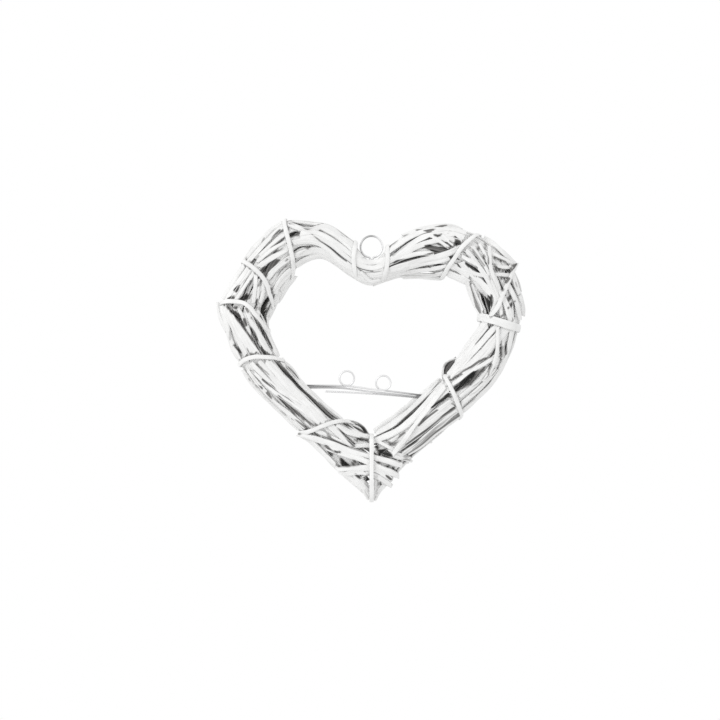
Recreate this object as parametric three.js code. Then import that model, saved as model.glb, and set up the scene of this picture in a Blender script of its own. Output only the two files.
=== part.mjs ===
// White-painted wicker heart on a wire ring, with a wire crossbar that carries two small eyes.
// Millimetres, +Z up. The heart hangs in the XZ plane with its front towards -Y.
// The origin is the point inside the top of the ring that rests on the hook.
import * as THREE from "three";

// Driving sizes
const HEART_WIDTH = 250; // over the two lobes
const BUNDLE_DEPTH = 34; // front to back, where the bundle is fullest
const TIP_DEPTH = 30; // front to back, at the tip
const STICK_WIDTH = 4.2; // split willow, across its flat back
const STICK_THICKNESS = 2.2; // from the flat back to the rounded bark side
const BINDING_WIDTH = 4.6; // the willow that is wound round the bundle
const BINDING_THICKNESS = 1.6;
const CLEFT_BINDING_WIDTH = 3.6;
const WIDE_BINDING_WIDTH = 6.6;
const LAYER_GAP = 0.6; // air between one layer of willow and the next
const BINDING_LIFT = 0.5; // how much further a binding stands off, at the bends of the bundle
const CLEFT_SLOT = 4.4; // between the two limbs' ends at the cleft, for the ring's shank
const TIP_SLOT = 1.2; // between the two limbs' ends at the tip
const RING_OUTER_DIAMETER = 19.4;
const RING_WIRE = 1.6;
const RING_OPENING = 20; // degrees of the circle left open, where the wire's two ends turn down
const SHANK_LENGTH = 12; // the ring's twisted wire ends, inside the cleft
const SHANK_NECK = 1.2; // from the ring's lowest point down to where the twist starts
const CROSSBAR_WIRE = 1.5;
const EYE_OUTER_DIAMETER = 13.4;
const WIRE_GAP = 0.35; // between neighbouring wires, and between an eye's turns
const ROD_SPACING = 2.3; // the lower rod under the upper one

// A place on the heart, from shares of its width: x from its middle, z up from the hook
const spot = (x, z) => ({ x: x * HEART_WIDTH, z: z * HEART_WIDTH });
const LEFT_EYE = spot(-0.0804, -0.462);
const RIGHT_EYE = spot(0.0384, -0.4768);
const CROSSBAR_LEFT = spot(-0.264, -0.4856);
const CROSSBAR_RIGHT = spot(0.2, -0.5224);
const TAIL_END = spot(-0.152, -0.5048); // where the lower rod's free end shows

// Each limb's centre line from the cleft to the tip as [x, z, half width], in shares of the heart's
// width. The bundle is laid by hand, so the two limbs are not alike.
const LEFT_STATIONS = [
  [0, -0.121, 0.039], [-0.077, -0.062, 0.051], [-0.155, -0.01, 0.056], [-0.246, -0.013, 0.077],
  [-0.322, -0.082, 0.079], [-0.378, -0.16, 0.08], [-0.417, -0.248, 0.082], [-0.4, -0.34, 0.069],
  [-0.354, -0.422, 0.062], [-0.266, -0.516, 0.057], [-0.168, -0.611, 0.062], [-0.087, -0.686, 0.075],
  [0, -0.755, 0.106],
];
const RIGHT_STATIONS = [
  [0, -0.121, 0.039], [0.067, -0.078, 0.047], [0.136, -0.049, 0.067], [0.217, -0.045, 0.084],
  [0.301, -0.063, 0.086], [0.372, -0.109, 0.086], [0.411, -0.186, 0.085], [0.42, -0.268, 0.069],
  [0.397, -0.343, 0.07], [0.354, -0.422, 0.071], [0.28, -0.51, 0.066], [0.181, -0.598, 0.066],
  [0.087, -0.673, 0.066], [0, -0.755, 0.106],
];
const FULL_BUNDLE = 15; // half width at which the sticks have their full width; they taper below it
const SECTIONS_PER_STATION = 1;

// The weave between the bindings. Each row is a strand of sticks laid side by side:
// [layer from the outside, station from, station to, angle from, angle to, sticks].
// Angle 0 is the heart's outer edge, 90 the front, 180 the inner edge and 270 the back.
const LEFT_WEAVE = {
  top_front: [1, 0, 3.8, 100, 70, 4],
  top_inner: [1, 0.2, 3.7, 178, 158, 2],
  top_back: [1, 0, 3.7, 258, 270, 4],
  top_core: [2, 1, 5.2, 55, 118, 2],
  shoulder_edge: [1, 2.6, 6, 332, 8, 2],
  shoulder_front: [1, 3.9, 6.2, 60, 48, 2],
  shoulder_inner: [1, 3.9, 6.4, 122, 104, 2],
  inside_edge: [1, 3.9, 7, 174, 186, 2],
  shoulder_back: [1, 3.8, 7.4, 285, 262, 4],
  side_edge: [1, 5.6, 8.6, 332, 340, 2],
  side_front: [1, 6.4, 8, 34, 78, 3],
  side_inner: [1, 6.7, 8, 110, 140, 1],
  side_core: [2, 5.6, 9.4, 230, 250, 3],
  lower_front: [1, 8.3, 12, 104, 98, 4],
  lower_outer: [1, 8.3, 12, 50, 54, 1],
  lower_edge: [1, 8.1, 12, 20, 16, 2],
  lower_inner: [1, 8.1, 12, 157, 150, 1],
  lower_back: [1, 7.8, 12, 270, 270, 4],
};
const RIGHT_WEAVE = {
  top_front: [1, 1.1, 4.2, 66, 46, 2],
  top_middle: [1, 0, 4.2, 122, 90, 2],
  top_inner: [1, 0.2, 4.1, 180, 158, 2],
  top_back: [1, 0, 4.2, 258, 268, 4],
  top_core: [2, 1.2, 5.2, 90, 116, 3],
  shoulder_edge: [1, 2.8, 6.2, 332, 6, 2],
  shoulder_front: [1, 4.5, 7.2, 58, 40, 2],
  shoulder_middle: [1, 4.5, 6.9, 104, 84, 2],
  shoulder_inner: [1, 4.4, 6.7, 160, 168, 2],
  shoulder_back: [1, 4.5, 7.8, 278, 262, 4],
  side_edge: [1, 5.9, 9.6, 330, 4, 2],
  side_front: [1, 7.4, 9.8, 84, 128, 4],
  side_core: [2, 6.6, 10, 240, 250, 3],
  lower_edge: [1, 9.3, 13, 325, 10, 2],
  lower_front: [1, 9.9, 13, 56, 62, 3],
  lower_middle: [1, 10.1, 13, 112, 116, 2],
  lower_inner: [1, 10, 13, 158, 152, 1],
  lower_back: [1, 8.2, 13, 270, 270, 4],
};

const radians = THREE.MathUtils.degToRad;
const lerp = THREE.MathUtils.lerp;
const clamp = THREE.MathUtils.clamp;

const willowPaint = new THREE.MeshStandardMaterial({ color: 0xededea, roughness: 0.6, metalness: 0 });
const zincWire = new THREE.MeshStandardMaterial({ color: 0x9c9da0, roughness: 0.4, metalness: 1 });
const group = new THREE.Group();

function add(name, geometry, material) {
  const mesh = new THREE.Mesh(geometry, material);
  mesh.name = name;
  group.add(mesh);
}

// The triangles that fill a flat ring of points
function capFaces(ring) {
  const normal = new THREE.Vector3();
  ring.forEach((point, i) => normal.add(point.clone().cross(ring[(i + 1) % ring.length])));
  const flat = new THREE.Quaternion();
  flat.setFromUnitVectors(normal.normalize(), new THREE.Vector3(0, 0, 1));
  const contour = ring.map((point) => {
    const { x, y } = point.clone().applyQuaternion(flat);
    return new THREE.Vector2(x, y);
  });
  return THREE.ShapeUtils.triangulateShape(contour, []);
}

// A closed body through a list of rings of points: its ends are filled, or its last ring joins its first
function loft(rings, closed = false) {
  const count = rings[0].length;
  const points = rings.flat();
  const indices = [];
  const bays = closed ? rings.length : rings.length - 1;
  for (let bay = 0; bay < bays; bay += 1) {
    const here = bay * count;
    const next = ((bay + 1) % rings.length) * count;
    for (let side = 0; side < count; side += 1) {
      const beside = (side + 1) % count;
      indices.push(here + side, next + side, next + beside);
      indices.push(here + side, next + beside, here + beside);
    }
  }
  if (!closed) {
    const last = (rings.length - 1) * count;
    for (const [a, b, c] of capFaces(rings[0])) indices.push(a, b, c);
    for (const [a, b, c] of capFaces(rings.at(-1))) indices.push(last + a, last + c, last + b);
  }
  let volume = 0;
  for (let i = 0; i < indices.length; i += 3) {
    const [a, b, c] = indices.slice(i, i + 3).map((index) => points[index]);
    volume += a.dot(b.clone().cross(c));
  }
  if (volume < 0) indices.reverse();
  const geometry = new THREE.BufferGeometry();
  geometry.setFromPoints(points);
  geometry.setIndex(indices);
  geometry.computeVertexNormals();
  return geometry;
}

// A limb of the heart: turns a station, an angle round the bundle and a depth under its skin into a point
function makeLimb(side, shares) {
  const stations = shares.map((share) => {
    const [x, z, half] = share.map((value) => value * HEART_WIDTH);
    return { x, z, half };
  });
  const last = stations.length - 1;
  stations.forEach((station, i) => {
    const before = stations[Math.max(i - 1, 0)];
    const after = stations[Math.min(i + 1, last)];
    const run = Math.hypot(after.x - before.x, after.z - before.z);
    station.nx = (-side * (after.z - before.z)) / run;
    station.nz = (side * (after.x - before.x)) / run;
    const full = Math.min(station.half, BUNDLE_DEPTH / 2);
    station.depth = lerp(full, Math.min(full, TIP_DEPTH / 2), clamp((i - last + 4) / 3, 0, 1));
  });
  Object.assign(stations[0], { nx: 0, nz: 1 });
  Object.assign(stations[last], { nx: 0, nz: -1 });

  function at(u) {
    const i = Math.min(Math.floor(u), last - 1);
    const blend = (key) => lerp(stations[i][key], stations[i + 1][key], u - i);
    return Object.fromEntries(Object.keys(stations[0]).map((key) => [key, blend(key)]));
  }

  function point(u, angle, inset) {
    const here = at(u);
    const across = (here.half - inset) * Math.cos(radians(angle));
    const depth = (here.depth - inset) * Math.sin(radians(angle));
    return new THREE.Vector3(here.x + here.nx * across, -depth, here.z + here.nz * across);
  }

  // Degrees round the bundle that a width takes up
  function degrees(u, angle, inset, width) {
    return width / point(u, angle - 0.5, inset).distanceTo(point(u, angle + 0.5, inset));
  }

  // The station where the outer edge is this far from the heart's middle
  function stationPast(distance) {
    let u = 0;
    while (Math.abs(point(u, 0, 0).x) < distance) u += 0.01;
    return u;
  }

  const cleftStop = CLEFT_SLOT / 2 / Math.abs(stations[1].x);
  const tipStop = last - TIP_SLOT / 2 / Math.abs(stations[last - 1].x);
  return { side, last, at, point, degrees, stationPast, cleftStop, tipStop };
}

const left = makeLimb(-1, LEFT_STATIONS);
const right = makeLimb(1, RIGHT_STATIONS);

// Depth under the skin of the middle of a layer of sticks
function layerInset(layer) {
  return STICK_THICKNESS / 2 + (layer - 1) * (STICK_THICKNESS + LAYER_GAP);
}

// One section through sticks laid side by side: rounded outsides, and a flat back for each
function sticksSection(limb, u, angle, inset, sticks) {
  const taper = Math.min(1, limb.at(u).half / FULL_BUNDLE);
  const across = limb.degrees(u, angle, inset, STICK_WIDTH * taper);
  const first = angle - (across * sticks) / 2;
  const seam = inset - STICK_THICKNESS * 0.1;
  const crown = inset - STICK_THICKNESS / 2;
  const back = inset + STICK_THICKNESS / 2;
  const section = [];
  for (let half = 0; half <= 2 * sticks; half += 1) {
    section.push(limb.point(u, first + (across * half) / 2, half % 2 === 0 ? seam : crown));
  }
  for (let stick = sticks; stick >= 0; stick -= 1) {
    section.push(limb.point(u, first + across * stick, back));
  }
  return section;
}

// A strand of sticks along a limb, cut short of the slots at the cleft and the tip
function strand(name, limb, [layer, from, to, angleFrom, angleTo, sticks]) {
  const start = Math.max(from, limb.cleftStop);
  const end = Math.min(to, limb.tipStop);
  const turn = ((angleTo - angleFrom + 540) % 360) - 180;
  const stops = [start];
  const step = 1 / SECTIONS_PER_STATION;
  for (let u = Math.ceil(start / step) * step; u < end - step / 4; u += step) {
    if (u > start + step / 4) stops.push(u);
  }
  stops.push(end);
  const sections = stops.map((u) => {
    const angle = angleFrom + (turn * (u - start)) / (end - start);
    return sticksSection(limb, u, angle, layerInset(layer), sticks);
  });
  add(name, loft(sections), willowPaint);
}

// The six corners of a flat band with a rounded outside, round a middle point
function bandSection(middle, along, outwards, width, thickness) {
  const sideways = along.clone().cross(outwards).normalize();
  const corners = [[-0.5, -0.1], [-0.25, 0.5], [0.25, 0.5], [0.5, -0.1], [0.5, -0.5], [-0.5, -0.5]];
  return corners.map(([across, up]) => {
    const corner = middle.clone().addScaledVector(sideways, across * width);
    return corner.addScaledVector(outwards, up * thickness);
  });
}

// A binding wound once round the bundle. At the outer edge it lies at station u + lean + bow, at the
// inner edge at u - lean + bow, and at the front and back at u - bow.
function binding(name, limb, u, lean, bow = 0, width = BINDING_WIDTH) {
  const inset = -LAYER_GAP - BINDING_LIFT - BINDING_THICKNESS / 2;
  const steps = 20;
  const place = (angle, depth) => {
    const station = u + lean * Math.cos(radians(angle)) + bow * Math.cos(radians(2 * angle));
    return limb.point(station, angle, depth);
  };
  const sections = [];
  for (let step = 0; step < steps; step += 1) {
    const angle = (step * 360) / steps;
    const middle = place(angle, inset);
    const along = place(angle + 2, inset).sub(place(angle - 2, inset)).normalize();
    const outwards = middle.clone().sub(place(angle, 0)).normalize();
    sections.push(bandSection(middle, along, outwards, width, BINDING_THICKNESS));
  }
  add(name, loft(sections, true), willowPaint);
}

// How far the bundle's skin stands out from the heart's middle plane, at a place seen from the front
function skinDepth(x, z) {
  let depth = 0;
  for (const limb of [left, right]) {
    for (let u = 0; u <= limb.last; u += 0.1) {
      const here = limb.at(u);
      const reach = Math.min(here.half, BUNDLE_DEPTH * 0.6);
      const share = 1 - ((x - here.x) ** 2 + (z - here.z) ** 2) / reach ** 2;
      if (share > 0) depth = Math.max(depth, here.depth * Math.sqrt(share));
    }
  }
  return depth;
}

// A stick that lies across the tip, straight as seen from the front, and bent over the bundle.
// face is -1 at the front of the heart and 1 at its back.
function crossStick(name, face, from, to) {
  const steps = 12;
  const run = Math.hypot(to.x - from.x, to.z - from.z);
  const sideX = ((from.z - to.z) / run) * (STICK_WIDTH / 2);
  const sideZ = ((to.x - from.x) / run) * (STICK_WIDTH / 2);
  const spots = [];
  for (let step = 0; step <= steps; step += 1) {
    const x = lerp(from.x, to.x, step / steps);
    const z = lerp(from.z, to.z, step / steps);
    const depths = [-1, 0, 1].map((edge) => skinDepth(x + edge * sideX, z + edge * sideZ));
    spots.push(new THREE.Vector3(x, face * Math.max(...depths), z));
  }
  const taut = spots.map((place, i) => {
    let depth = Math.abs(place.y);
    for (let a = 0; a < i; a += 1) {
      for (let b = i + 1; b <= steps; b += 1) {
        const bridge = lerp(Math.abs(spots[a].y), Math.abs(spots[b].y), (i - a) / (b - a));
        depth = Math.max(depth, bridge);
      }
    }
    const y = face * (depth + LAYER_GAP * 2 + STICK_THICKNESS / 2);
    return new THREE.Vector3(place.x, y, place.z);
  });
  const outwards = new THREE.Vector3(0, face, 0);
  const sections = taut.map((place, i) => {
    const along = taut[Math.min(i + 1, steps)].clone().sub(taut[Math.max(i - 1, 0)]).normalize();
    return bandSection(place, along, outwards, STICK_WIDTH, STICK_THICKNESS);
  });
  add(name, loft(sections), willowPaint);
  return Math.max(...taut.map((place) => Math.abs(place.y))) + STICK_THICKNESS / 2;
}

// A stick laid over the cleft from one limb to the other, outside the layers
function cleftStick(name, leftStation, leftAngle, rightStation, rightAngle, sticks) {
  const inset = -LAYER_GAP - STICK_THICKNESS / 2;
  const sections = [];
  for (let step = 0; step <= 6; step += 1) {
    const share = (step - 3) / 3;
    const limb = share < 0 ? left : right;
    const u = Math.abs(share) * (share < 0 ? leftStation : rightStation);
    const angle = lerp(leftAngle, rightAngle, step / 6);
    sections.push(sticksSection(limb, u, angle, inset, sticks));
  }
  add(name, loft(sections), willowPaint);
}

// The binding that stands upright round the tip, outside the cross sticks. Above the tip's middle, where
// the cross sticks lie, it is squarish, and below it it is drawn in round the point.
function tipBinding(name, crossDepth) {
  const tip = left.at(left.last);
  const high = tip.half + LAYER_GAP + BINDING_LIFT + BINDING_THICKNESS / 2;
  const deep = crossDepth + LAYER_GAP * 2 + BINDING_THICKNESS / 2;
  const steps = 20;
  const squarish = 0.6;
  const round = 1;
  const place = (turn) => {
    const angle = (turn * 2 * Math.PI) / steps;
    const power = Math.cos(angle) > 0 ? round : squarish;
    const bulge = (value) => Math.sign(value) * Math.abs(value) ** power;
    const y = -deep * bulge(Math.sin(angle));
    return new THREE.Vector3(tip.x, y, tip.z - high * bulge(Math.cos(angle)));
  };
  const sections = [];
  for (let step = 0; step < steps; step += 1) {
    const along = place(step + 0.5).sub(place(step - 0.5)).normalize();
    const outwards = new THREE.Vector3(1, 0, 0).cross(along);
    sections.push(bandSection(place(step), along, outwards, BINDING_WIDTH, BINDING_THICKNESS));
  }
  add(name, loft(sections, true), willowPaint);
}

// A round wire along a curve through points
function wire(name, points, diameter, divisions) {
  const curve = new THREE.CatmullRomCurve3(points, false, "centripetal");
  const frames = curve.computeFrenetFrames(divisions, false);
  const sides = 6;
  const sections = [];
  for (let i = 0; i <= divisions; i += 1) {
    const middle = curve.getPointAt(i / divisions);
    const section = [];
    for (let side = 0; side < sides; side += 1) {
      const turn = (side * 2 * Math.PI) / sides;
      const place = middle.clone().addScaledVector(frames.normals[i], (Math.cos(turn) * diameter) / 2);
      section.push(place.addScaledVector(frames.binormals[i], (Math.sin(turn) * diameter) / 2));
    }
    sections.push(section);
  }
  add(name, loft(sections), zincWire);
}

// The ring and its shank: one wire, bent round, with its two ends twisted together into the cleft
function hangingRing() {
  const radius = (RING_OUTER_DIAMETER - RING_WIRE) / 2;
  const middle = -radius + RING_WIRE / 2;
  const twistRadius = (RING_WIRE + WIRE_GAP) / 2;
  const twistTop = middle - radius - SHANK_NECK;
  const shankEnd = (phase) => {
    const ends = [];
    for (let step = 0; step <= 6; step += 1) {
      const turn = phase + (step / 6) * Math.PI * 1.5;
      const z = twistTop - (step / 6) * SHANK_LENGTH;
      ends.push(new THREE.Vector3(Math.cos(turn) * twistRadius, Math.sin(turn) * twistRadius, z));
    }
    return ends;
  };
  const round = [];
  for (let step = 0; step <= 10; step += 1) {
    const turn = radians(RING_OPENING / 2 - 90 + ((360 - RING_OPENING) * step) / 10);
    round.push(new THREE.Vector3(Math.cos(turn) * radius, 0, middle + Math.sin(turn) * radius));
  }
  const points = [...shankEnd(0).reverse(), ...round, ...shankEnd(Math.PI)];
  wire("hanging_ring", points, RING_WIRE, 48);
}

// The points of one eye: a full turn of wire that steps sideways, clear of itself
function eyeTurn(eye, yFrom, yTo) {
  const radius = (EYE_OUTER_DIAMETER - CROSSBAR_WIRE) / 2;
  const turns = [];
  for (let step = 0; step <= 12; step += 1) {
    const turn = -Math.PI / 2 + (step / 12) * 2 * Math.PI;
    const x = eye.x + Math.cos(turn) * radius;
    const z = eye.z + Math.sin(turn) * radius;
    turns.push(new THREE.Vector3(x, lerp(yFrom, yTo, step / 12), z));
  }
  return turns;
}

// The crossbar: the eyes' wire, the rod under it and a lower rod with a free end, side by side
function crossbar() {
  const pitch = CROSSBAR_WIRE + WIRE_GAP;
  const eyeDrop = (EYE_OUTER_DIAMETER - CROSSBAR_WIRE) / 2;
  const underLeft = LEFT_EYE.z - eyeDrop;
  const underRight = RIGHT_EYE.z - eyeDrop;
  const eyePath = [
    new THREE.Vector3(CROSSBAR_LEFT.x, 0, CROSSBAR_LEFT.z),
    new THREE.Vector3(LEFT_EYE.x - EYE_OUTER_DIAMETER, 0, underLeft),
    ...eyeTurn(LEFT_EYE, 0, -pitch),
    new THREE.Vector3(LEFT_EYE.x + eyeDrop * 2, -pitch, lerp(underLeft, underRight, 0.45)),
    ...eyeTurn(RIGHT_EYE, -pitch, 0),
    new THREE.Vector3(RIGHT_EYE.x + EYE_OUTER_DIAMETER, 0, underRight - pitch),
    new THREE.Vector3(CROSSBAR_RIGHT.x, 0, CROSSBAR_RIGHT.z),
  ];
  wire("eye_wire", eyePath, CROSSBAR_WIRE, 64);
  const rodPath = [
    new THREE.Vector3(CROSSBAR_LEFT.x, 0, CROSSBAR_LEFT.z - pitch),
    new THREE.Vector3(LEFT_EYE.x - eyeDrop, 0, underLeft - pitch),
    new THREE.Vector3(LEFT_EYE.x + eyeDrop * 2, 0, lerp(underLeft, underRight, 0.45) - ROD_SPACING),
    new THREE.Vector3(RIGHT_EYE.x, 0, underRight - pitch * 1.3),
    new THREE.Vector3(RIGHT_EYE.x + EYE_OUTER_DIAMETER, 0, underRight - pitch * 2.1),
    new THREE.Vector3(CROSSBAR_RIGHT.x, 0, CROSSBAR_RIGHT.z - pitch * 1.1),
  ];
  wire("crossbar_rod", rodPath, CROSSBAR_WIRE, 12);
  const tailPath = [
    new THREE.Vector3(TAIL_END.x, pitch, TAIL_END.z),
    new THREE.Vector3(LEFT_EYE.x, pitch, TAIL_END.z - CROSSBAR_WIRE / 2),
    new THREE.Vector3(RIGHT_EYE.x, pitch, underRight - pitch * 1.3 - ROD_SPACING / 2),
    new THREE.Vector3(CROSSBAR_RIGHT.x, pitch, CROSSBAR_RIGHT.z - pitch * 0.9),
  ];
  wire("crossbar_lower_rod", tailPath, CROSSBAR_WIRE, 10);
}

function weave(prefix, limb, rows) {
  for (const [place, row] of Object.entries(rows)) strand(`${prefix}_${place}_sticks`, limb, row);
  const beside = limb.stationPast(RING_OUTER_DIAMETER / 2 + RING_WIRE * 2);
  strand(`${prefix}_top_edge_sticks`, limb, [1, beside, 3.4, 24, 14, 2]);
}

weave("left", left, LEFT_WEAVE);
weave("right", right, RIGHT_WEAVE);

cleftStick("cleft_front_stick", 0.4, 112, 0.32, 140, 1);
const crossDepths = [
  crossStick("tip_front_stick_1", -1, spot(-0.24, -0.642), spot(0.132, -0.738)),
  crossStick("tip_front_stick_2", -1, spot(-0.216, -0.67), spot(0.104, -0.756)),
  crossStick("tip_front_stick_3", -1, spot(-0.172, -0.702), spot(0.09, -0.7852)),
  crossStick("tip_front_stick_4", -1, spot(-0.14, -0.734), spot(0.068, -0.814)),
  crossStick("tip_back_stick_1", 1, spot(-0.12, -0.752), spot(0.2, -0.668)),
  crossStick("tip_back_stick_2", 1, spot(-0.08, -0.788), spot(0.12, -0.736)),
];

const ringSide = RING_OUTER_DIAMETER / 2 + RING_WIRE + CLEFT_BINDING_WIDTH / 2;
binding("left_cleft_binding", left, left.stationPast(ringSide) - 0.3, 0.3, 0, CLEFT_BINDING_WIDTH);
binding("left_top_binding", left, 3.45, -0.45);
binding("left_shoulder_binding", left, 5.05, -0.45);
binding("left_side_binding", left, 6.3, -0.6, 0.2);
binding("left_waist_binding", left, 7.75, -0.3, 0.15);
binding("left_lower_binding", left, 10.15, -0.75, 0.15);
binding("right_cleft_binding", right, right.stationPast(ringSide) - 0.35, 0.35, 0, CLEFT_BINDING_WIDTH);
binding("right_top_binding", right, 3.85, 0.38);
binding("right_side_binding", right, 7.12, 0.08, 0, WIDE_BINDING_WIDTH);
binding("right_lower_binding", right, 10.05, 0.3);
tipBinding("tip_binding", Math.max(...crossDepths));

hangingRing();
crossbar();

export default group;
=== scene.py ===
"""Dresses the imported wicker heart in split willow, willow bindings and wire, and sets up its photograph."""
import math

import bpy
import numpy as np
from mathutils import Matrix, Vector


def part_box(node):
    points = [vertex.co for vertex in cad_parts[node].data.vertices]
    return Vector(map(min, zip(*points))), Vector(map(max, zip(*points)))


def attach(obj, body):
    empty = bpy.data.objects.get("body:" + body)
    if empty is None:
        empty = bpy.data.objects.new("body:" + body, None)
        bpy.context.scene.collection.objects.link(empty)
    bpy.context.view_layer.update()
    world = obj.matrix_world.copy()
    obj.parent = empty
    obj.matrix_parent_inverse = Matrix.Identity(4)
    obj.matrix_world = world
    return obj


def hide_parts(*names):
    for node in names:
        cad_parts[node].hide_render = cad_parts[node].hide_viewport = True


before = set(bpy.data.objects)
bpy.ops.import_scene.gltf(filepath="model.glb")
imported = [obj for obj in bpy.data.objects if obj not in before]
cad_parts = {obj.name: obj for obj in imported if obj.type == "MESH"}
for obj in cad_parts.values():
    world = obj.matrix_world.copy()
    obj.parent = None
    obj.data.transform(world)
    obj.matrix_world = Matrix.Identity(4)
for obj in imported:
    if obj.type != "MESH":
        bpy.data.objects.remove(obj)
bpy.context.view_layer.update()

# Driving sizes in millimetres. The bindings are a little narrower and thinner than the part's plain bands
HEART_WIDTH = 250.0
BUNDLE_DEPTH = 34.0
TIP_DEPTH = 30.0
STICK_WIDTH = 4.2
STICK_THICKNESS = 2.2
BINDING_WIDTH = 3.5
BINDING_THICKNESS = 1.2
CLEFT_BINDING_WIDTH = 3.6
WIDE_BINDING_WIDTH = 6.6
LAYER_GAP = 0.6
BINDING_CLEARANCE = 0.3
CLEFT_SLOT = 4.4
TIP_SLOT = 1.2
RING_OUTER_DIAMETER = 19.4
RING_WIRE = 1.6
SHANK_LENGTH = 12.0
RING_OPENING = 20.0
SHANK_NECK = 1.2
CROSSBAR_WIRE = 1.5
EYE_OUTER_DIAMETER = 13.4
WIRE_GAP = 0.35
ROD_SPACING = 2.3
FULL_BUNDLE = 15.0
LINING_WIDTH = 4.4
LINING_INSET = 3.2
LINING_SINK = 2.5
MM = 0.001

# How the photograph sees the heart: its pixels are this size at the heart's middle plane
PIXEL = 0.817
RING_COLUMN = 371.5
RING_ROW = 237.0
PHOTO_PIXELS = 720
LENS = 85.0
SENSOR = 36.0
VIEW_MIDDLE_X = (PHOTO_PIXELS / 2 - RING_COLUMN) * PIXEL
VIEW_MIDDLE_Z = (RING_ROW - PHOTO_PIXELS / 2) * PIXEL
VIEW_DISTANCE = PHOTO_PIXELS * PIXEL * LENS / SENSOR

# Each limb's centre line from the cleft to the tip as [x, z, half width], in shares of the heart's width
LEFT_STATIONS = [
    [0, -0.121, 0.039], [-0.077, -0.062, 0.051], [-0.155, -0.01, 0.056], [-0.246, -0.013, 0.077],
    [-0.322, -0.082, 0.079], [-0.378, -0.16, 0.08], [-0.417, -0.248, 0.082], [-0.4, -0.34, 0.069],
    [-0.354, -0.422, 0.062], [-0.266, -0.516, 0.057], [-0.168, -0.611, 0.062], [-0.087, -0.686, 0.075],
    [0, -0.755, 0.106],
]
RIGHT_STATIONS = [
    [0, -0.121, 0.039], [0.067, -0.078, 0.047], [0.136, -0.049, 0.067], [0.217, -0.045, 0.084],
    [0.301, -0.063, 0.086], [0.372, -0.109, 0.086], [0.411, -0.186, 0.085], [0.42, -0.268, 0.069],
    [0.397, -0.343, 0.07], [0.354, -0.422, 0.071], [0.28, -0.51, 0.066], [0.181, -0.598, 0.066],
    [0.087, -0.673, 0.066], [0, -0.755, 0.106],
]

# Strands that are laid along a limb: [layer, station from, station to, angle from, angle to, sticks]
LEFT_WEAVE = {
    "top_back": [1, 0, 3.7, 258, 270, 4],
    "top_core": [2, 1, 5.2, 55, 118, 2],
    "shoulder_edge": [1, 2.6, 6, 332, 8, 2],
    "inside_edge": [1, 3.9, 7, 174, 186, 2],
    "shoulder_back": [1, 3.8, 7.4, 285, 262, 4],
    "side_edge": [1, 5.6, 8.6, 332, 340, 2],
    "side_core": [2, 5.6, 9.4, 230, 250, 3],
    "lower_edge": [1, 8.1, 12, 20, 16, 2],
    "lower_inner": [1, 8.1, 12, 157, 150, 1],
    "lower_back": [1, 7.8, 12, 270, 270, 4],
}
RIGHT_WEAVE = {
    "top_back": [1, 0, 4.2, 258, 268, 4],
    "top_core": [2, 1.2, 5.2, 90, 116, 3],
    "shoulder_edge": [1, 2.8, 6.2, 332, 6, 2],
    "shoulder_back": [1, 4.5, 7.8, 278, 262, 4],
    "side_edge": [1, 5.9, 9.6, 330, 4, 2],
    "side_core": [2, 6.6, 10, 240, 250, 3],
    "lower_edge": [1, 9.3, 13, 325, 10, 2],
    "lower_inner": [1, 10, 13, 158, 152, 1],
    "lower_back": [1, 8.2, 13, 270, 270, 4],
}

# More sticks laid along the limbs in the same way, low at the back of the tip
TIP_STRANDS = {"left": [1, 9.6, 12, 316, 318, 4], "right": [1, 10.8, 13, 302, 312, 3]}

# Sticks under the outer ones, which close the view through a limb: (station from, station to)
CORE_SPANS = {"left": [(0.12, 3.9), (3.2, 6.6), (5.9, 8.4), (7.6, 11.9)],
              "right": [(0.14, 4.2), (3.6, 7.4), (6.8, 10.2), (9.4, 12.9)]}

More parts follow.
